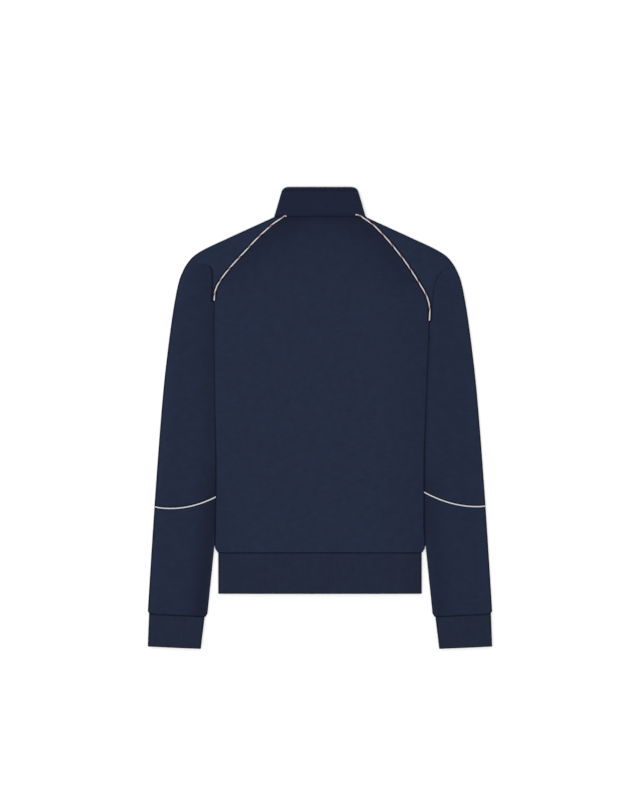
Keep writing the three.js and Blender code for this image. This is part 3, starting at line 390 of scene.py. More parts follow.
def back_place(u, v):
    low, high = HEM_SEAM_Y - 1.4, COLLAR_SEAM_Y + 1.4
    y = blend(low, high, np.interp(v, (0, 0.06, 0.45, 0.9, 1), (0, 0.018, 0.5, 0.975, 1)))
    left, right = SIDES["left"], SIDES["right"]

    def span(side):
        above = side["raglan"](y) - cord_room(side, y)
        below = np.where(y < HEM_SEAM_Y - 0.1, HEM_HALF_WIDTH - 1.2, side["body_edge"](y))
        return np.where(y >= side["armpit_y"], above, below)

    left_x, right_x = -span(left), span(right)
    across = np.interp(u, (0, 0.035, 0.12, 0.88, 0.965, 1), (0, 0.006, 0.08, 0.92, 0.994, 1))
    x = blend(left_x, right_x, across)
    from_side = np.minimum(x - left_x, right_x - x)
    top = np.zeros_like(x)
    for side in (left, right):
        here = (x < 0) == (side["sign"] < 0)
        opened = eased(side["armpit_y"] - 28, side["armpit_y"], y)
        lifted = body_lift(side, np.abs(x), y, 60)
        edge = PRESSED + SLEEVE_LOFT * opened
        full = PRESSED + 3.2 - 1.8 * lifted / TUCKED_HEIGHT
        top = np.where(here, blend(edge, full, rise(from_side / EDGE_RISE)) + lifted, top)
    calm = eased(0, 30, from_side) * eased(0, 20, high - y)
    # the top edge is turned in under the collar and the lower edge under the hem band, and two rows of sewing
    # just below the collar hold the neck tape
    from_neck = np.maximum(COLLAR_SEAM_Y - 0.1 - y, 0)
    from_hem = np.maximum(y - HEM_SEAM_Y - 0.1, 0)
    gathers = 0.16 * np.sin(x / 4.3 + 0.8 * np.sin(x / 17))
    gathers = gathers * eased(16, 2, from_hem) * ease(from_hem / 3)
    top += unevenness(x, y) * calm + gathers
    from_edge = np.minimum(np.minimum(from_side, from_hem), from_neck)
    turned_in = TURNED_IN * eased(COLLAR_SEAM_Y - 0.2, COLLAR_SEAM_Y + 0.8, y)
    turned_in += TURNED_IN * eased(HEM_SEAM_Y + 0.2, HEM_SEAM_Y - 0.8, y) * eased(2, 5, from_side)
    sewn = sum(np.exp(-((from_neck - row) / 0.8) ** 2) for row in NECK_ROWS)
    # painted shade beside the raglan cords, along the sides over the sleeves and at the turned edges
    piped = y > np.where(x < 0, left["armpit_y"], right["armpit_y"])
    at_side = np.where(piped, 1.0, blend(0.75, 0.22, share(-120, 60, y)))
    near_side = eased(np.where(piped, 4.0, 2.3), np.where(piped, 1.2, 0.4), from_side)
    shade_paint = np.maximum(at_side * near_side, 0.5 * eased(2.0, 0.2, from_edge))
    # painted shade, a little darker towards the neck, the raglan seams and the sides, and along the sewing
    shade = 0.13 * eased(190, 320, y) + 0.1 * eased(295, 335, y)
    shade += 0.1 * eased(12, 1, from_neck)
    shade += 0.17 * eased(85, 5, from_side) * eased(205, 275, y)
    shade += 0.12 * eased(95, 5, right_x - x) * eased(300, 220, y)
    shade += 0.07 * eased(40, 5, x - left_x) * eased(-60, -150, y)
    shade_paint = np.maximum(shade_paint, shade + 0.14 * sewn)
    return x, y, top - rolled(from_edge, CLOTH) - turned_in - 0.2 * sewn, shade_paint


back = sewn_sheet("back", 150, 230, back_place, jersey, CLOTH)
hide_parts("back_panel")

# The fronts: a left and a right jersey panel, under the jacket, each turned in along the zip. They lie on the
# floor except at their sides, where the sleeves are tucked between them and the floor.
ZIP_EDGE_X = 5.6
ZIP_NECK_Y = 289.6
FRONT_TOP_Y = 316.4
NECK_POINT_X, NECK_POINT_Y = 58, 318  # where the front raglan seam meets the collar
# The collar's front half, from the zip to its fold, as rows of seam x, seam y, top x and top y.
FRONT_COLLAR = [
    (ZIP_EDGE_X, 290, ZIP_EDGE_X, 346), (25, 292.7, 22, 348.5), (36, 297.6, 32, 352), (45, 303.8, 40, 357),
    (53.5, 312, 47, 364.5), (NECK_POINT_X, NECK_POINT_Y, 51, 369.5), (66, 330, 56.5, 379),
    (73, 340.5, 61, 388), (80.2, 352, 67.4, 396.4),
]


def front_neck(y):
    """The front neckline's distance from the centre line."""
    seam_x, seam_y, _, _ = zip(*FRONT_COLLAR)
    return np.interp(y + 0.35, seam_y, seam_x) + 0.2


def front_raglan(side, y):
    """The front raglan seam's distance from the centre line."""
    t = share(NECK_POINT_Y, side["armpit_y"], y)
    return blend(NECK_POINT_X, side["raglan"](side["armpit_y"]), t + 0.1 * np.sin(math.pi * t))


for side_name, side in SIDES.items():

    def front_place(u, v, side=side):
        y = blend(HEM_SEAM_Y + 0.1, FRONT_TOP_Y, np.interp(v, (0, 0.7, 1), (0, 0.76, 1)))
        zip_edge = np.where(y > ZIP_NECK_Y, front_neck(y), ZIP_EDGE_X)
        armhole = front_raglan(side, y) - 0.15
        outside = np.where(y >= side["armpit_y"], armhole, side["body_edge"](y))
        across = np.interp(u, (0, 0.03, 0.2, 1), (0, 0.008, 0.12, 1))
        x = blend(outside, zip_edge, across)
        bottom = body_lift(side, x, y, 24) + rolled(outside - x, CLOTH)
        # a shallow groove beside the zip, past the edge of its tape
        bottom = bottom + 0.12 * eased(24, 18, x) * eased(12, 18, x)
        return side["sign"] * x, y, bottom

    front = sewn_sheet(
        f"front_{side_name}", 64, 150, front_place, jersey, CLOTH, inside_out=side["sign"] < 0
    )
    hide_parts(f"front_panel_{side_name}")

# The sleeves: raglan sleeves in jersey, an upper and a lower piece each, folded flat along the outer edge and
# seamed at the underarm. Each turns down from the shoulder in a soft fold at the armpit, and lies under the
# body's side.
SLEEVE_TOP_Y = 351.65
CUFF_LEVEL = -344
FOREARM_CORD_R = 1.2
# A sewn edge is drawn down, and painted shade is laid along it.
SEAM_DIP, SEAM_SHADE = 0.9, 0.6  # how far a sewn edge is drawn down, and how deep in tone it is
# The shares of the way round a section at which its parts end: the seam edge, the cloth up to the fold, the
# upper face, the outer fold (with its middle) and the underside.
SEAM_U, FOLD_U, FACE_U, MIDDLE_U, TURN_U, UNDER_U = 0.05, 0.2, 0.58, 0.62, 0.66, 0.95
# The outer edge of the shoulder and the sleeve, as rows of a height and a distance from the centre line.
SILHOUETTE = table_curve([
    (352, 80.5), (336, 115.5), (315, 161.4), (294, 205.5), (283.5, 221.6), (273, 231), (262.5, 237.8),
    (241.5, 246.6), (210, 253.6), (150.5, 262.7), (45.5, 274.8), (-122.5, 287.9), (-248.5, 296.3),
    (-349, 302.4),
])


def forearm_y(side, x):
    """The height of the seam across the forearm."""
    low_x, low_y, bend = side["forearm"]
    return low_y + bend * (x - low_x) ** 2


def cuff_seam_y(x):
    """The height of the seam between sleeve and cuff."""
    return np.interp(x, (198, 302), (-348.6, -343.6))


def sleeve_section(u, y, side, front_y):
    """Across a flattened sleeve at one height: over the top, round the outer fold and back underneath.

    It gives x and z, whether a point is on the top, how loose the cloth is there, and the shade painted
    there.
    """
    radius = CLOTH + FOLD_GAP / 2
    closed = np.where(y > side["armpit_y"] - 1, 0.0, 1.0)
    outer_x = SILHOUETTE(y)
    tucked_x = inner_edge(side, y)
    top_x = np.where(closed > 0, tucked_x, side["raglan"](y) + cord_room(side, y))
    above = np.where(y > NECK_POINT_Y, front_neck(front_y), front_raglan(side, y) + 0.15)
    under_x = np.where(closed > 0, tucked_x, above)
    beside = np.where(y < CLEAR_Y, tucked_x + 2, side["body_edge"](y) + 0.2)
    crease_x = np.where(closed > 0, np.maximum(beside, tucked_x + 2), side["fold"](y))
    stepped = np.where(closed > 0, 0, eased(side["fold_top_y"], side["fold_full_y"], y))
    flat_x = outer_x - radius
    trough = np.maximum(closed, 0.85 * stepped)

    def top_height(x):
        away = rise((flat_x - x) / EDGE_RISE)
        return PRESSED + SLEEVE_LOFT * away * (1 - trough * (1 - rise((x - crease_x) / EDGE_RISE)))

    inner_z = PRESSED + SLEEVE_LOFT * (1 - closed) * rise((flat_x - top_x) / EDGE_RISE)
    well_under = eased(1.5, 4, side["body_edge"](y) - tucked_x)
    rounded = closed * np.maximum(well_under, np.where(y < -200, 1, 0))
    start_x = top_x + blend(CLOTH * 0.7, radius, rounded)
    fold_x = np.maximum(crease_x - np.minimum(1.6, (flat_x - start_x) * 0.1), start_x + 0.4)
    base_x = np.maximum(crease_x, fold_x + 0.3)
    cap_z = blend(blend(top_height(fold_x), inner_z, stepped), PRESSED, closed)
    # the inner end of the top: a rolled seam edge, or the upper half of a fold where the sleeve is a tube and
    # lies clear under the body
    t = share(0, SEAM_U, u)
    angle = t * math.pi / 2
    seam_x = top_x + CLOTH * 0.7 * t
    seam_z = inner_z - rolled(CLOTH * t, CLOTH)
    x = blend(seam_x, top_x + radius - radius * np.cos(angle), rounded)
    z = blend(blend(seam_z, radius + (radius - 0.2) * t, closed), radius + radius * np.sin(angle), rounded)
    # the cloth between the raglan seam and the fold, which rounds over at the fold
    t = share(SEAM_U, FOLD_U, u)
    flat_t, round_t = share(0, 0.7, t), share(0.7, 1, t)
    drop = np.maximum(cap_z - top_height(base_x), 0)
    short = np.minimum(1.2, 0.6 * (fold_x - start_x))
    cap_x = blend(start_x, fold_x - short, flat_t) + (base_x - fold_x + short) * np.sin(round_t * math.pi / 2)
    cap_height = blend(inner_z, cap_z, flat_t) - drop * (1 - np.cos(round_t * math.pi / 2))
    x = np.where(u > SEAM_U, cap_x, x)
    z = np.where(u > SEAM_U, cap_height, z)
    # the full upper face, the outer fold, and the underside on the floor
    t = share(FOLD_U, FACE_U, u)
    face_x = blend(base_x, flat_x, np.interp(t, (0, 0.1, 1), (0, 0.03, 1)))
    face_z = top_height(face_x)
    x = np.where(u > FOLD_U, face_x, x)
    z = np.where(u > FOLD_U, face_z, z)
    angle = blend(math.pi / 2, -math.pi / 2, share(FACE_U, TURN_U, u))
    x = np.where(u > FACE_U, flat_x + radius * np.cos(angle), x)
    z = np.where(u > FACE_U, radius + radius * np.sin(angle), z)
    under_start = under_x + blend(0.5, radius, closed)
    x = np.where(u > TURN_U, blend(flat_x, under_start, share(TURN_U, UNDER_U, u)), x)
    z = np.where(u > TURN_U, 0, z)
    t = share(UNDER_U, 1, u)
    angle = t * math.pi / 2
    under_end = blend(under_start - 0.5 * t, under_x + radius - radius * np.sin(angle), closed)
    x = np.where(u > UNDER_U, under_end, x)
    z = np.where(u > UNDER_U, blend(0.4 * t, radius - radius * np.cos(angle), closed), z)
    on_top = np.where(u < MIDDLE_U, np.where(closed > 0, share(0, SEAM_U, u), 1.0), 0.0)
    on_face = (u > FOLD_U) * (u < FACE_U)
    loose = eased(0, 25, flat_x - x) * eased(0, 12, x - base_x) * on_face
    # painted shade: darker at the fold and beside it, under the body's side, a little across the open face,
    # along the outer edge and at the seams
    turned_under = np.maximum(closed, stepped) * on_face
    crease = side["crease"] * (1 - closed) * eased(5, 0, x - base_x)
    beside_fold = blend(*side["shade"], eased(-50, -150, y))
    shade_paint = turned_under * (beside_fold * eased(46, 0, x - base_x) + crease)
    beside_body = blend(0.8, 0.2, share(-120, 60, y)) * closed * (y > CLEAR_Y)
    beside_body = beside_body * eased(2.4, 0.6, x - side["body_edge"](y))
    shade_paint = np.maximum(shade_paint + 0.1 * loose, beside_body * (u < FACE_U))
    slant = np.hypot(1, SILHOUETTE(y + 0.5) - SILHOUETTE(y - 0.5))
    shade_paint = np.maximum(shade_paint, eased(3.2, 0.8, (outer_x - x) / slant))
    shade_paint = np.maximum(shade_paint, eased(4, 1.2, x - top_x) * (1 - closed) * (u < FOLD_U))
    shade_paint = np.maximum(shade_paint, eased(2.4, 0.3, x - top_x) * (y < CLEAR_Y))
    return x, z, on_top, loose, shade_paint * (u < 0.64)


for side_name, side in SIDES.items():
    seam_level = forearm_y(side, 235)
    armpit_y = side["armpit_y"]

    def upper_place(u, v, side=side, seam_level=seam_level, armpit_y=armpit_y):
        level = np.interp(v, (0, 0.09, 0.5, 1), (SLEEVE_TOP_Y, NECK_POINT_Y, armpit_y - 10, seam_level))
        neck_drop = 4.6 * eased(0.045, 0, v)
        follow = eased(-40, seam_level, level)
        x = sleeve_section(u, level, side, level - neck_drop)[0]
        true_y = blend(level, forearm_y(side, x) + level - seam_level, follow)
        x, z, on_top, loose, shade_paint = sleeve_section(u, true_y, side, true_y - neck_drop)
        gap = blend(0.1, FOREARM_CORD_R + 0.1, on_top)
        y = blend(level, forearm_y(side, x) + level - seam_level + gap, follow) - neck_drop * (1 - on_top)
        z = z + unevenness(x + 40 * side["sign"], y, 0.2) * loose
        seam = eased(2.4, 0, level - seam_level) * on_top * (z > 3)
        # the inner part of the top edge is tucked in under the collar
        tucked_in = eased(0.004, 0, v) * eased(0.35, 0.22, u)
        z = z - SEAM_DIP * seam - 0.8 * tucked_in
        # painted shade along the forearm seam, with the sleeve's own
        return side["sign"] * x, y + 0.5 * tucked_in, z, np.maximum(shade_paint, SEAM_SHADE * seam)

    def lower_place(u, v, side=side, seam_level=seam_level):
        level = blend(seam_level, CUFF_LEVEL, v)
        x = sleeve_section(u, level, side, level)[0]
        true_y = blend(forearm_y(side, x), cuff_seam_y(x), v)
        x, z, on_top, loose, shade_paint = sleeve_section(u, true_y, side, true_y)
        # the jersey is drawn in to the width of the cuff
        drawn = 2.6 * eased(CUFF_LEVEL + 5.5, CUFF_LEVEL, level)
        middle = (SILHOUETTE(level) + inner_edge(side, level)) / 2
        x = x - drawn * np.clip((x - middle) / 40, -1, 1)
        gap = blend(0.1, FOREARM_CORD_R + 0.1, on_top)
        y = blend(forearm_y(side, x) - gap, cuff_seam_y(x) + 0.1, v)
        z = z + unevenness(x + 40 * side["sign"], y, 0.2) * loose * eased(0, 0.1, 1 - v)
        seam = np.maximum(eased(2.4, 0, seam_level - level), eased(2.4, 0, level - CUFF_LEVEL))
        z = z - SEAM_DIP * seam * on_top * (z > 3)
        # painted shade along the forearm and cuff seams, with the sleeve's own
        return side["sign"] * x, y, z, np.maximum(shade_paint, SEAM_SHADE * seam * on_top)

    for part, rows, place, flat, area in (
        ("upper", 190, upper_place, (0.36, 0.51), 0.112), ("lower", 96, lower_place, (0.228, 0.21), 0.0455)
    ):
        sleeve = sewn_sheet(
            f"{part}_sleeve_{side_name}", 130, rows, place, jersey, CLOTH, weld=True,
            inside_out=side["sign"] > 0,
        )
        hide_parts(f"sleeve_{part}_{side_name}")

# The cuffs and the hem band: fine rib knit folded double, tighter than the jersey it is sewn to. The ribs run
# up and down. The hem band starts and ends at the zip.
RIB_CLOTH = 2.8
RIB_PRESSED = 2 * RIB_CLOTH + FOLD_GAP
RIB_PITCH = 3.4
RIB_HEIGHT = 0.5
RIB_EDGE = 1.6  # how far in from its edges the rib rounds over
CUFF_TOP_X, CUFF_END_X = (202.2, 299.6), (209, 301.8)
CUFF_LENGTH = 60
CUFF_FACE_WIDTH = 91
HEM_BOTTOM_Y = -308
HEM_DEPTH = 72
rib_knit = cloth_material(
    "navy_rib", (0.0068, 0.0108, 0.0240), (0.0144, 0.0218, 0.0464),
    wale=0.00085, course=0.0009, streak=0.6, bump=0.3,
)


def turned(x, z, here, centre, across, up, radius):
    """Puts the points that are here round a fold, across and up from its centre by shares of its radius."""
    return np.where(here, centre + radius * across, x), np.where(here, radius + radius * up, z)


def rib_wave(t, width):
    """Whole ribs over a width, each from 0 in its valleys to 1 on its crest, at a share of the way across."""
    return np.abs(np.sin(math.pi * round(width / RIB_PITCH) * t))


def edge_shade(from_edge):
    """Painted shade, darker at a sewn or folded edge."""
    return eased(1.8, 0.3, from_edge)


for side_name, side in SIDES.items():

    def cuff_place(u, v, side=side):
        radius = RIB_CLOTH + FOLD_GAP / 2
        inner_x, outer_x = (blend(top, end, v) for top, end in zip(CUFF_TOP_X, CUFF_END_X))
        t = share(0.02, 0.8, u)
        left, right = inner_x + radius, outer_x - radius
        wave = rib_wave(t, CUFF_FACE_WIDTH)
        x = blend(left, right, t)
        z = RIB_PRESSED + 0.7 * np.sin(math.pi * t) + RIB_HEIGHT * np.sqrt(wave)
        turn = share(0, 0.02, u) * math.pi / 2
        x, z = turned(x, z, u < 0.02, left, -np.cos(turn), np.sin(turn), radius)
        turn = blend(math.pi / 2, -math.pi / 2, share(0.8, 0.84, u))
        x, z = turned(x, z, u > 0.8, right, np.cos(turn), np.sin(turn), radius)
        x = np.where(u > 0.84, blend(right, left, share(0.84, 0.98, u)), x)
        z = np.where(u > 0.84, 0, z)
        turn = share(0.98, 1, u) * math.pi / 2
        x, z = turned(x, z, u > 0.98, left, -np.sin(turn), -np.cos(turn), radius)
        top_y = cuff_seam_y(x) - 0.1
        end_y = np.interp(x, (209, 302), (-404.5, -400.4))
        from_edge = np.minimum(v, 1 - v) * CUFF_LENGTH
        # painted shade at the folded sides, at the sewn and folded ends, and in the rib valleys
        folded = eased(2, 0.4, np.minimum(x - inner_x, outer_x - x))
        shade_paint = np.maximum(blend(0.45, 0.85, v) * edge_shade(from_edge), 0.85 * folded)
        shade_paint = np.maximum(shade_paint, 0.35 * (1 - wave) ** 2)
        return side["sign"] * x, blend(top_y, end_y, v), z - rolled(from_edge, RIB_EDGE) * (z > 4), shade_paint

    cuff = sewn_sheet(
        f"cuff_rib_{side_name}", 300, 34, cuff_place, rib_knit, RIB_CLOTH, weld=True,
        inside_out=side["sign"] > 0,
    )
    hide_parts(f"cuff_{side_name}")


def hem_place(u, v):
    radius = RIB_CLOTH + FOLD_GAP / 2
    flat_half = HEM_HALF_WIDTH - radius
    # from the zip under the left side, round the left fold, across the top, and back under the right side
    t = share(0.1, 0.9, u)
    x = blend(-flat_half, flat_half, t)
    wave = rib_wave(t, 2 * flat_half)
    z = RIB_PRESSED + 1.7 * np.sin(math.pi * t) + RIB_HEIGHT * np.sqrt(wave)
    turn = blend(-math.pi / 2, math.pi / 2, share(0.08, 0.1, u))
    x, z = turned(x, z, u < 0.1, -flat_half, -np.cos(turn), np.sin(turn), radius)
    x = np.where(u < 0.08, blend(-ZIP_EDGE_X, -flat_half, share(0, 0.08, u)), x)
    z = np.where(u < 0.08, 0, z)
    turn = blend(math.pi / 2, -math.pi / 2, share(0.9, 0.92, u))
    x, z = turned(x, z, u > 0.9, flat_half, np.cos(turn), np.sin(turn), radius)
    x = np.where(u > 0.92, blend(flat_half, ZIP_EDGE_X, share(0.92, 1, u)), x)
    z = np.where(u > 0.92, 0, z)
    y = blend(HEM_BOTTOM_Y, HEM_SEAM_Y - 0.1, v)
    from_edge = np.minimum(v, 1 - v) * HEM_DEPTH
    # painted shade at the folds and edges, in the rib valleys, and towards the right end
    folded = eased(2, 0.4, HEM_HALF_WIDTH - np.abs(x))
    shade_paint = np.maximum(blend(0.85, 0.35, v) * edge_shade(from_edge), 0.85 * folded)
    shade_paint = np.maximum(shade_paint, 0.16 * eased(45, 0, HEM_HALF_WIDTH - x) + 0.35 * (1 - wave) ** 2)
    return x, y, z - rolled(from_edge, RIB_EDGE) * (z > 4), shade_paint * (z > 2)


hem = sewn_sheet("hem_rib", 950, 28, hem_place, rib_knit, RIB_CLOTH)
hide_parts("hem_band")

# The collar: a stand collar of two layers of jersey, sewn to the neckline and stitched once below its top.
# It lies pressed flat, its back half over its front half, and is open at the zip.
collar_jersey = cloth_material("navy_collar_jersey", (0.0048, 0.0082, 0.0205), (0.0098, 0.0152, 0.0370))
COLLAR_TOP_Y = 404.5
COLLAR_DEPTH = 53
COLLAR_ROW = 6  # how far its row of stitches is below the top
COLLAR_LOFT = 0.9
BACK_COLLAR_SEAM_Y = 352.1
# The top's heights round the fold, then the back half as rows of seam x, top x and top y.
FOLD_TOPS = (396.4, 396.4, 396.4, 397.6, 399.2)
BACK_COLLAR = [
    (75, 64.6, 400.8), (72.5, 62.9, 402.2), (69.5, 61, 403.3), (66, 58.4, 404.1), (62, 55.2, COLLAR_TOP_Y),
    (42, 38, COLLAR_TOP_Y), (20, 18, COLLAR_TOP_Y),
]


def collar_place(u, v):
    radius = RIB_CLOTH + FOLD_GAP / 2
    # from the zip, round the fold, to the middle of the back: seam x and y, top x and y, and the angle turned
    stations = [(*row, -90) for row in FRONT_COLLAR[:-1]]
    stations.append((77.2, 351.8, 64.2, 396.2, -90))
    for degrees, top in zip((-60, -30, 0, 30, 60), FOLD_TOPS):
        turn = radius * (1 - math.cos(math.radians(degrees)))
        stations.append((80.5 - turn, COLLAR_SEAM_Y, 67.4 - turn, top, degrees))
    for row in (*BACK_COLLAR, (0, 0, COLLAR_TOP_Y)):
        stations.append((row[0], BACK_COLLAR_SEAM_Y, *row[1:], 90))
    seam_x, seam_y, top_x, top_y, degrees = (np.array(column, float) for column in zip(*stations))
    step = np.hypot(np.diff(seam_x), np.diff(seam_y)) + 0.9 * (np.abs(np.diff(degrees)) > 0)
    where = np.concatenate(([0], np.cumsum(step)))
    where /= where[-1]
    half_u = 1 - np.abs(2 * u - 1)
    sign = np.where(u < 0.5, -1.0, 1.0)
    angle = np.radians(np.interp(half_u, where, degrees))
    x = blend(np.interp(half_u, where, seam_x), np.interp(half_u, where, top_x), v)
    y = blend(np.interp(half_u, where, seam_y), np.interp(half_u, where, top_y), v)
    z = radius + radius * np.sin(angle)
    full = COLLAR_LOFT * rise((70 - x) / 40) * (angle > 1.5)
    from_edge = np.minimum(v, 1 - v) * COLLAR_DEPTH
    sewn = np.exp(-(((1 - v) * COLLAR_DEPTH - COLLAR_ROW) / 1.1) ** 2)
    # painted shade at the fold, along the edges, along the row of stitches and near the neck seam
    shade_paint = 0.9 * eased(0.9, 1.5, np.pi / 2 - np.abs(angle))
    shade_paint = np.maximum(shade_paint, blend(0.4, 0.9, v) * edge_shade(from_edge))
    shade_paint = np.maximum(shade_paint, 0.03 + 0.65 * sewn + 0.3 * eased(7, 0.5, v * COLLAR_DEPTH))
    return sign * x, y, z + full - (rolled(from_edge, 1.5) + 0.4 * sewn) * (z > 5), shade_paint * (z > 2)


collar = sewn_sheet("stand_collar", 240, 60, collar_place, collar_jersey, RIB_CLOTH)
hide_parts("collar")

# The piping: a white cord let into each back raglan seam, wound with a flat red and a flat navy thread side
# by side, and a plain cord in each forearm seam. Twisted cotton strands, caught in the seam's stitches.
def smooth_path(points, steps):
    """Points evenly spread along a smooth curve through the given ones."""
    knots = np.array(points, float)
    knots = np.vstack((2 * knots[0] - knots[1], knots, 2 * knots[-1] - knots[-2]))
    t = np.linspace(0, len(points) - 1, 24 * len(points))
    i = np.minimum(t.astype(int), len(points) - 2)
    f = (t - i)[:, None]
    a, b, c, d = (knots[i + k] for k in range(4))
    curve = 0.5 * (2 * b + (c - a) * f + (2 * a - 5 * b + 4 * c - d) * f**2 + (3 * b - a - 3 * c + d) * f**3)
    run = np.concatenate(([0], np.cumsum(np.linalg.norm(np.diff(curve, axis=0), axis=1))))
    even = np.linspace(0, run[-1], steps)
    return np.stack([np.interp(even, run, curve[:, k]) for k in range(3)], axis=1), even


def cord_frame(path, flat_side):
    """At each point of a path, two directions square to it, the first lying in the cloth."""
    forward = np.gradient(path, axis=0)
    forward /= np.linalg.norm(forward, axis=1)[:, None]
    beside = np.cross(forward, flat_side)
    beside /= np.linalg.norm(beside, axis=1)[:, None]
    return beside, np.cross(beside, forward)


def rounded_ends(row, rows):
    """The share of the full thickness at each row, which falls to nothing at both ends."""
    near = np.minimum(np.minimum(row, rows - 1 - row) / 3, 1)
    return np.sqrt(1 - (1 - near) ** 2)


def twisted_cord(name, points, flat_side, radius, material, lay=2.6):
    """Three strands twisted into a cord along a path. Each strand comes round once in three lays."""
    path, run = smooth_path(points, 24 * len(points))
    beside, upward = cord_frame(path, flat_side)

    def cord_place(u, v):
        row = np.rint(v * (len(path) - 1)).astype(int)
        angle = 2 * math.pi * u
        ends = rounded_ends(row, len(path))
        swell = radius * ends * (0.95 + 0.05 * np.cos(3 * (angle - 2 * math.pi * run[row] / (3 * lay))))
        ring = np.cos(angle)[:, None] * beside[row] + np.sin(angle)[:, None] * upward[row]
        return tuple((path[row] + swell[:, None] * ring).T)

    return sewn_sheet(name, 18, len(path) - 1, cord_place, material, 0, weld=True)


def cotton_material(name, colour, strand=0.0009):
    """Spun cotton: fine slanting strands, with painted shade between them."""
    material, nodes, links, shader = new_material(name)
    slanting = {"Scale": 0.3 / strand, "Distortion": 1.5, "Detail": 2}
    strands = wired(nodes, links, "TexWave", slanting)
    strands.bands_direction = "DIAGONAL"
    # painted shade: the colour is a little darker between the strands
    between = [0.78 * channel for channel in colour]
    tone = two_tones(nodes, links, between, colour, strands.outputs["Fac"])
    links.new(tone, shader.inputs["Base Color"])
    add_relief(nodes, links, shader, strands.outputs["Fac"], 0.4)
    set_inputs(shader, {"Roughness": 0.8, "Specular IOR Level": 0.2})
    return material


VISIBLE_CORD_R = 1.2
white_cotton = cotton_material("white_cotton", (0.60, 0.59, 0.62))
red_thread = cotton_material("red_thread", (0.42, 0.05, 0.06))
navy_thread = cotton_material("navy_thread", (0.03, 0.04, 0.11))


def wound_thread(name, path, run, beside, upward, radius, start, material):
    """A flat thread wound slantwise round a cord, 2.6 mm wide, one turn every 26 mm."""
    half_width, half_depth, pitch = 1.3, 0.16, 26

    def thread_place(u, v):
        row = np.rint(v * (len(path) - 1)).astype(int)
        turn = 2 * math.pi * (run[row] - start) / pitch
        out = np.cos(turn)[:, None] * upward[row] + np.sin(turn)[:, None] * beside[row]
        forward = np.cross(beside[row], upward[row])
        angle = 2 * math.pi * u
        ends = rounded_ends(row, len(path))[:, None]
        centre = path[row] + (radius - 0.05) * ends * out
        offset = half_width * np.cos(angle)[:, None] * forward + half_depth * np.sin(angle)[:, None] * out
        return tuple((centre + ends * offset).T)

    return sewn_sheet(name, 8, len(path) - 1, thread_place, material, 0, weld=True)


for side_name, side in SIDES.items():
    sign, raglan = side["sign"], side["raglan"]
    on_collar = RIB_PRESSED + COLLAR_LOFT * rise(0.2) + RAGLAN_CORD_R + 0.1
    in_seam = PRESSED + SLEEVE_LOFT - 0.1
    route = [(sign * x, y, on_collar) for x, y in side["hook"]]
    count = round((COLLAR_SEAM_Y - side["armpit_y"]) / 12)
    for i in range(1, count + 1):
        y = blend(COLLAR_SEAM_Y, side["armpit_y"] + 0.4, i / count)
        route.append((sign * float(raglan(y)), y, in_seam))
    cord = twisted_cord(f"raglan_cord_{side_name}", route, (0, 0, 1), VISIBLE_CORD_R, white_cotton)
    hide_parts(f"raglan_piping_{side_name}")
    path, run = smooth_path(route, 420)
    beside, upward = cord_frame(path, (0, 0, 1))
    for thread, start, material in (("red", 6.0, red_thread), ("navy", 8.9, navy_thread)):
        wound = wound_thread(
            f"{thread}_thread_{side_name}", path, run, beside, upward, VISIBLE_CORD_R, start, material
        )

    start_x = float(side["body_edge"](-140)) - 1.2
    end_x = float(SILHOUETTE(forearm_y(side, 290)))
    radius = CLOTH + FOLD_GAP / 2
    route = []
    for x in np.concatenate((start_x + np.array([0.0, 6.0]), np.linspace(start_x + 12, end_x - 8, 8))):
        away = rise((end_x - radius - x) / EDGE_RISE)
        height = PRESSED + SLEEVE_LOFT * away * rise((x - start_x) / EDGE_RISE)
        route.append((sign * x, forearm_y(side, x), height + 0.1))
    # its outer end turns down round the sleeve's outer fold
    for inset, z in ((3, PRESSED + 0.1), (1.8, PRESSED - 0.6), (1.3, PRESSED / 2)):
        route.append((sign * (end_x - inset), forearm_y(side, end_x), z))
    cord = twisted_cord(f"forearm_cord_{side_name}", route, (0, 1, 0), FOREARM_CORD_R, white_cotton, lay=2.2)
    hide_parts(f"forearm_piping_{side_name}")

# The sewing that shows: a navy polyester thread in rows of 2.6 mm stitches, one below the collar's top, two
# below the collar seam where the neck tape is sewn down inside, and one along each front by the zip.
sewing_thread = cotton_material("navy_sewing_thread", (0.010, 0.013, 0.028), strand=0.0004)


def stitch_row(name, points, stitch=2.6, gap=0.7, thickness=0.22):
    """Short rounded stitches laid end to end along a line on the cloth."""
    path, run = smooth_path(points, max(2, round(np.sum(np.linalg.norm(np.diff(points, axis=0), axis=1)))))
    sewing = bmesh.new()
    for start in np.arange(gap, run[-1] - stitch, stitch + gap):
        ends = [np.array([np.interp(s, run, path[:, k]) for k in range(3)]) for s in (start, start + stitch)]
        along = Vector(ends[1] - ends[0]).normalized()
        lying = along.to_track_quat("X", "Z").to_matrix().to_4x4()
        size = Matrix.Diagonal((stitch / 2 * MM, thickness * MM, thickness * 0.8 * MM, 1))
        middle = Matrix.Translation(Vector((ends[0] + ends[1]) / 2 * MM))
        bmesh.ops.create_uvsphere(sewing, u_segments=6, v_segments=4, radius=1, matrix=middle @ lying @ size)
    row = placed(name, sewing, sewing_thread)
    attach(row, "jacket")


def on_cloth(piece, x, y, above=0.05):
    """A point on the upper face of a cloth piece, found from well above it."""
    start = Vector((x * MM, y * MM, 50 * MM))
    hit, place, _, _ = piece.ray_cast(start, Vector((0, 0, -1)))
    return (x, y, place.z / MM + above if hit else PRESSED)


for row_name, inset in zip(("upper", "lower"), NECK_ROWS):
    y = COLLAR_SEAM_Y - inset
    ends = [float(SIDES[name]["raglan"](y)) - 4.5 for name in ("left", "right")]
    xs = np.linspace(-ends[0], ends[1], 40)
    stitch_row(f"neck_stitches_{row_name}", [on_cloth(back, x, y) for x in xs])

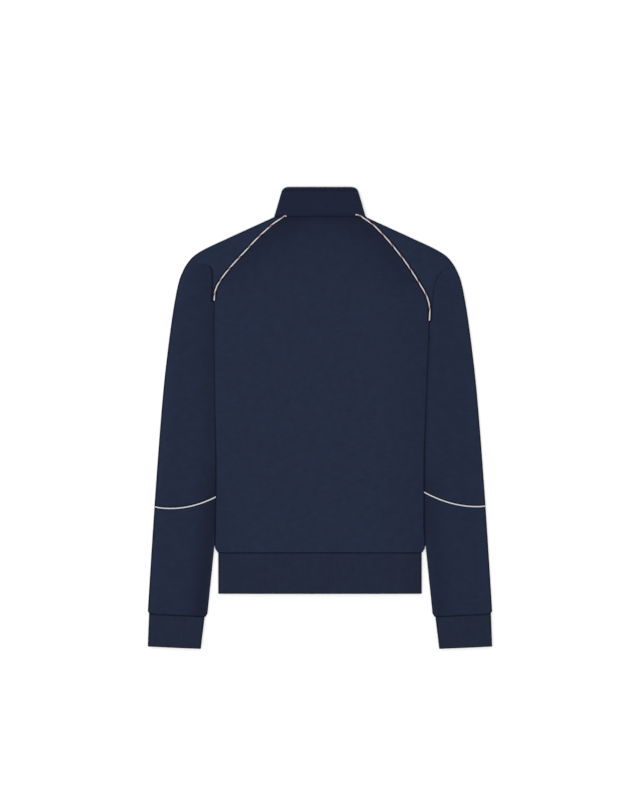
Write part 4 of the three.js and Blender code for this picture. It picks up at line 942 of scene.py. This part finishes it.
collar_u = np.linspace(0.29, 0.71, 90)
collar_row = np.stack(collar_place(collar_u, np.full(90, 1 - COLLAR_ROW / COLLAR_DEPTH))[:3], axis=1)
stitch_row("collar_stitches", [(x, y, z + 0.1) for x, y, z in collar_row])

# The zip: an open-ended zip with moulded plastic teeth on two woven tapes, sewn behind the front edges. It is
# closed up to the top of the collar, where its slider and small metal pull are, and lies on the underside.
ZIP_BOTTOM_Y = HEM_BOTTOM_Y + 1
TEETH_TOP_Y = 341
TAPE_TOP_Y = 345
TAPE_INNER_X, TAPE_OUTER_X = 3.4, 15
TAPE_FACE_Z = 4.1
TAPE_THICKNESS = 0.9
ZIP_STITCH_X = 10.5
RETAINER_LENGTH = 11
TOOTH_PITCH = 2.6


def metal_material(name, colour, roughness):
    """Satin nickel plate, finely brushed."""
    material, nodes, links, shader = new_material(name)
    stretch = wired(nodes, links, "Mapping", {"Scale": (9000, 300, 300)})
    brushed = wired(nodes, links, "TexNoise", {"Scale": 1, "Detail": 3}, stretch.outputs[0])
    rough = nodes.new("ShaderNodeMapRange")
    set_inputs(rough, {"To Min": roughness - 0.08, "To Max": roughness + 0.12})
    links.new(brushed.outputs["Fac"], rough.inputs["Value"])
    links.new(rough.outputs[0], shader.inputs["Roughness"])
    set_inputs(shader, {"Base Color": (*colour, 1), "Metallic": 1})
    return material


def plastic_material(name, colour):
    """Moulded plastic with a faint grain."""
    material, nodes, links, shader = new_material(name)
    grain = wired(nodes, links, "TexNoise", {"Scale": 1800})
    add_relief(nodes, links, shader, grain.outputs["Fac"], 0.15, 0.0001)
    set_inputs(shader, {"Base Color": (*colour, 1), "Roughness": 0.42})
    return material


zip_plastic = plastic_material("navy_zip_plastic", (0.012, 0.016, 0.036))
nickel = metal_material("satin_nickel", (0.62, 0.61, 0.58), 0.3)
woven_tape = cloth_material(
    "navy_woven_tape", (0.008, 0.011, 0.026), (0.013, 0.018, 0.038),
    wale=0.0006, course=0.0012, streak=0.4, bump=0.5,
)


def ease_edges(shape, edges, width):
    """Rounds the given edges a little."""
    bmesh.ops.bevel(shape, geom=edges, offset=width, segments=2, profile=0.5, affect="EDGES", material=-1)


def finished(name, shape, material, body, bevel=0.0):
    """A hard piece from a bmesh: its edges eased, and fixed to its body."""
    if bevel:
        ease_edges(shape, shape.edges, bevel)
    bmesh.ops.scale(shape, verts=shape.verts, vec=(MM, MM, MM))
    bmesh.ops.recalc_face_normals(shape, faces=shape.faces)
    piece = placed(name, shape, material)
    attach(piece, body)
    return piece


def block(shape, x, y, z):
    """Adds a rectangular block between the given limits."""
    size = Matrix.Diagonal((x[1] - x[0], y[1] - y[0], z[1] - z[0], 1))
    centre = Matrix.Translation(((x[0] + x[1]) / 2, (y[0] + y[1]) / 2, (z[0] + z[1]) / 2))
    bmesh.ops.create_cube(shape, size=1, matrix=centre @ size)


for side_name, side in SIDES.items():
    sign = side["sign"]

    def tape_place(u, v, sign=sign):
        x = blend(TAPE_OUTER_X, TAPE_INNER_X, u)
        y = blend(ZIP_BOTTOM_Y, TAPE_TOP_Y, v)
        return sign * x, y, TAPE_FACE_Z - 0.12 * np.cos(8 * math.pi * u) * (u > 0.3)

    tape = sewn_sheet(
        f"zip_tape_cloth_{side_name}", 26, 160, tape_place, woven_tape, TAPE_THICKNESS, inside_out=sign > 0
    )
    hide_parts(f"zip_tape_{side_name}")
    ys = np.linspace(-232, 286, 60)
    stitch_row(f"zip_stitches_{side_name}", [(sign * ZIP_STITCH_X, y, 0.1) for y in ys])

teeth = bmesh.new()
tooth_count = int((TEETH_TOP_Y - (ZIP_BOTTOM_Y + RETAINER_LENGTH + 0.3)) / (TOOTH_PITCH / 2)) - 1
for i in range(tooth_count):
    y = ZIP_BOTTOM_Y + RETAINER_LENGTH + 1.2 + i * TOOTH_PITCH / 2
    sign = 1 if i % 2 else -1
    block(teeth, sorted((-sign * 0.7, sign * 2.9)), (y - 0.5, y + 0.5), (2.8, 4.45))
teeth_piece = finished("zip_teeth_row", teeth, zip_plastic, "jacket", bevel=0.16)
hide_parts("zip_teeth")

retainer = bmesh.new()
for half_width, z in ((4.6, (1.9, 2.8)), (4.6, (4.4, 4.7)), (3.1, (2.7, 4.5))):
    block(retainer, (-half_width, half_width), (ZIP_BOTTOM_Y, ZIP_BOTTOM_Y + RETAINER_LENGTH), z)
box_piece = finished("zip_retainer", retainer, zip_plastic, "jacket", bevel=0.13)
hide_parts("zip_box")


def raise_faces(shape, faces, height):
    """Gives flat faces a thickness upwards."""
    raised = bmesh.ops.extrude_face_region(shape, geom=faces)
    moved = [item for item in raised["geom"] if isinstance(item, bmesh.types.BMVert)]
    bmesh.ops.translate(shape, verts=moved, vec=(0, 0, height))


def plate(shape, outline, low, high):
    """Adds a plate of an outline, between two heights."""
    face = shape.faces.new([shape.verts.new((x, y, low)) for x, y in outline])
    raise_faces(shape, [face], high - low)


# The slider: two plates with a wedge and side rails between them, and a bridge below for the pull.
slider = bmesh.new()
shoulders = [(4.4 * math.cos(a), 340.6 + 4.4 * math.sin(a)) for a in np.radians(np.linspace(-20, 200, 17))]
slider_outline = shoulders + [(-3.2, 334), (3.2, 334)]
plate(slider, slider_outline, 1.9, 2.5)
plate(slider, slider_outline, 4.7, 5.2)
plate(slider, [(-1.3, 341.4), (0, 340.9), (1.3, 341.4), (1.1, 344.6), (-1.1, 344.6)], 2.4, 4.8)
for sign in (-1, 1):
    for low, high in ((2.4, 2.95), (4.3, 4.8)):
        edge = [(sign * 3.35, 334.3), (sign * 2.95, 334.3), (sign * 3.9, 340.2), (sign * 4.3, 340.2)]
        plate(slider, edge, low, high)
for leg_low, leg_high in ((337.6, 338.4), (343.2, 344)):
    block(slider, (-0.9, 0.9), (leg_low, leg_high), (0.3, 2))
block(slider, (-0.9, 0.9), (337.6, 344), (0.1, 0.6))
slider_piece = finished("zip_slider_body", slider, nickel, "jacket", bevel=0.1)
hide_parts("zip_slider")

# The pull: a flat tab with a round end, its eye round the slider's bridge.
pull = bmesh.new()
PULL_HALF_WIDTH = 2.9
PULL_TOP_Y = 341.8
PULL_Z, PULL_THICKNESS = 0.85, 0.8
tab = [(-PULL_HALF_WIDTH, PULL_TOP_Y), (-PULL_HALF_WIDTH, 321.4)]
for a in np.radians(np.linspace(0, 180, 13)):
    tab.append((-PULL_HALF_WIDTH * math.cos(a), 317.8 - PULL_HALF_WIDTH * math.sin(a)))
tab += [(PULL_HALF_WIDTH, 321.4), (PULL_HALF_WIDTH, PULL_TOP_Y)]
eye = [(-1.3, 341.0), (1.3, 341.0), (1.3, 335.6), (-1.3, 335.6)]
edges = []
for loop in (tab, eye):
    corners = [pull.verts.new((x, y, PULL_Z)) for x, y in loop]
    edges += [pull.edges.new((a, b)) for a, b in zip(corners, corners[1:] + corners[:1])]
bmesh.ops.triangle_fill(pull, use_beauty=True, use_dissolve=False, edges=edges)
raise_faces(pull, pull.faces[:], PULL_THICKNESS)
rims = [edge for edge in pull.edges if len(edge.link_faces) == 2 and edge.calc_face_angle() > 1]
ease_edges(pull, rims, 0.14)
pull_piece = finished("zip_pull_tab", pull, nickel, "zip_pull")
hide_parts("zip_pull")
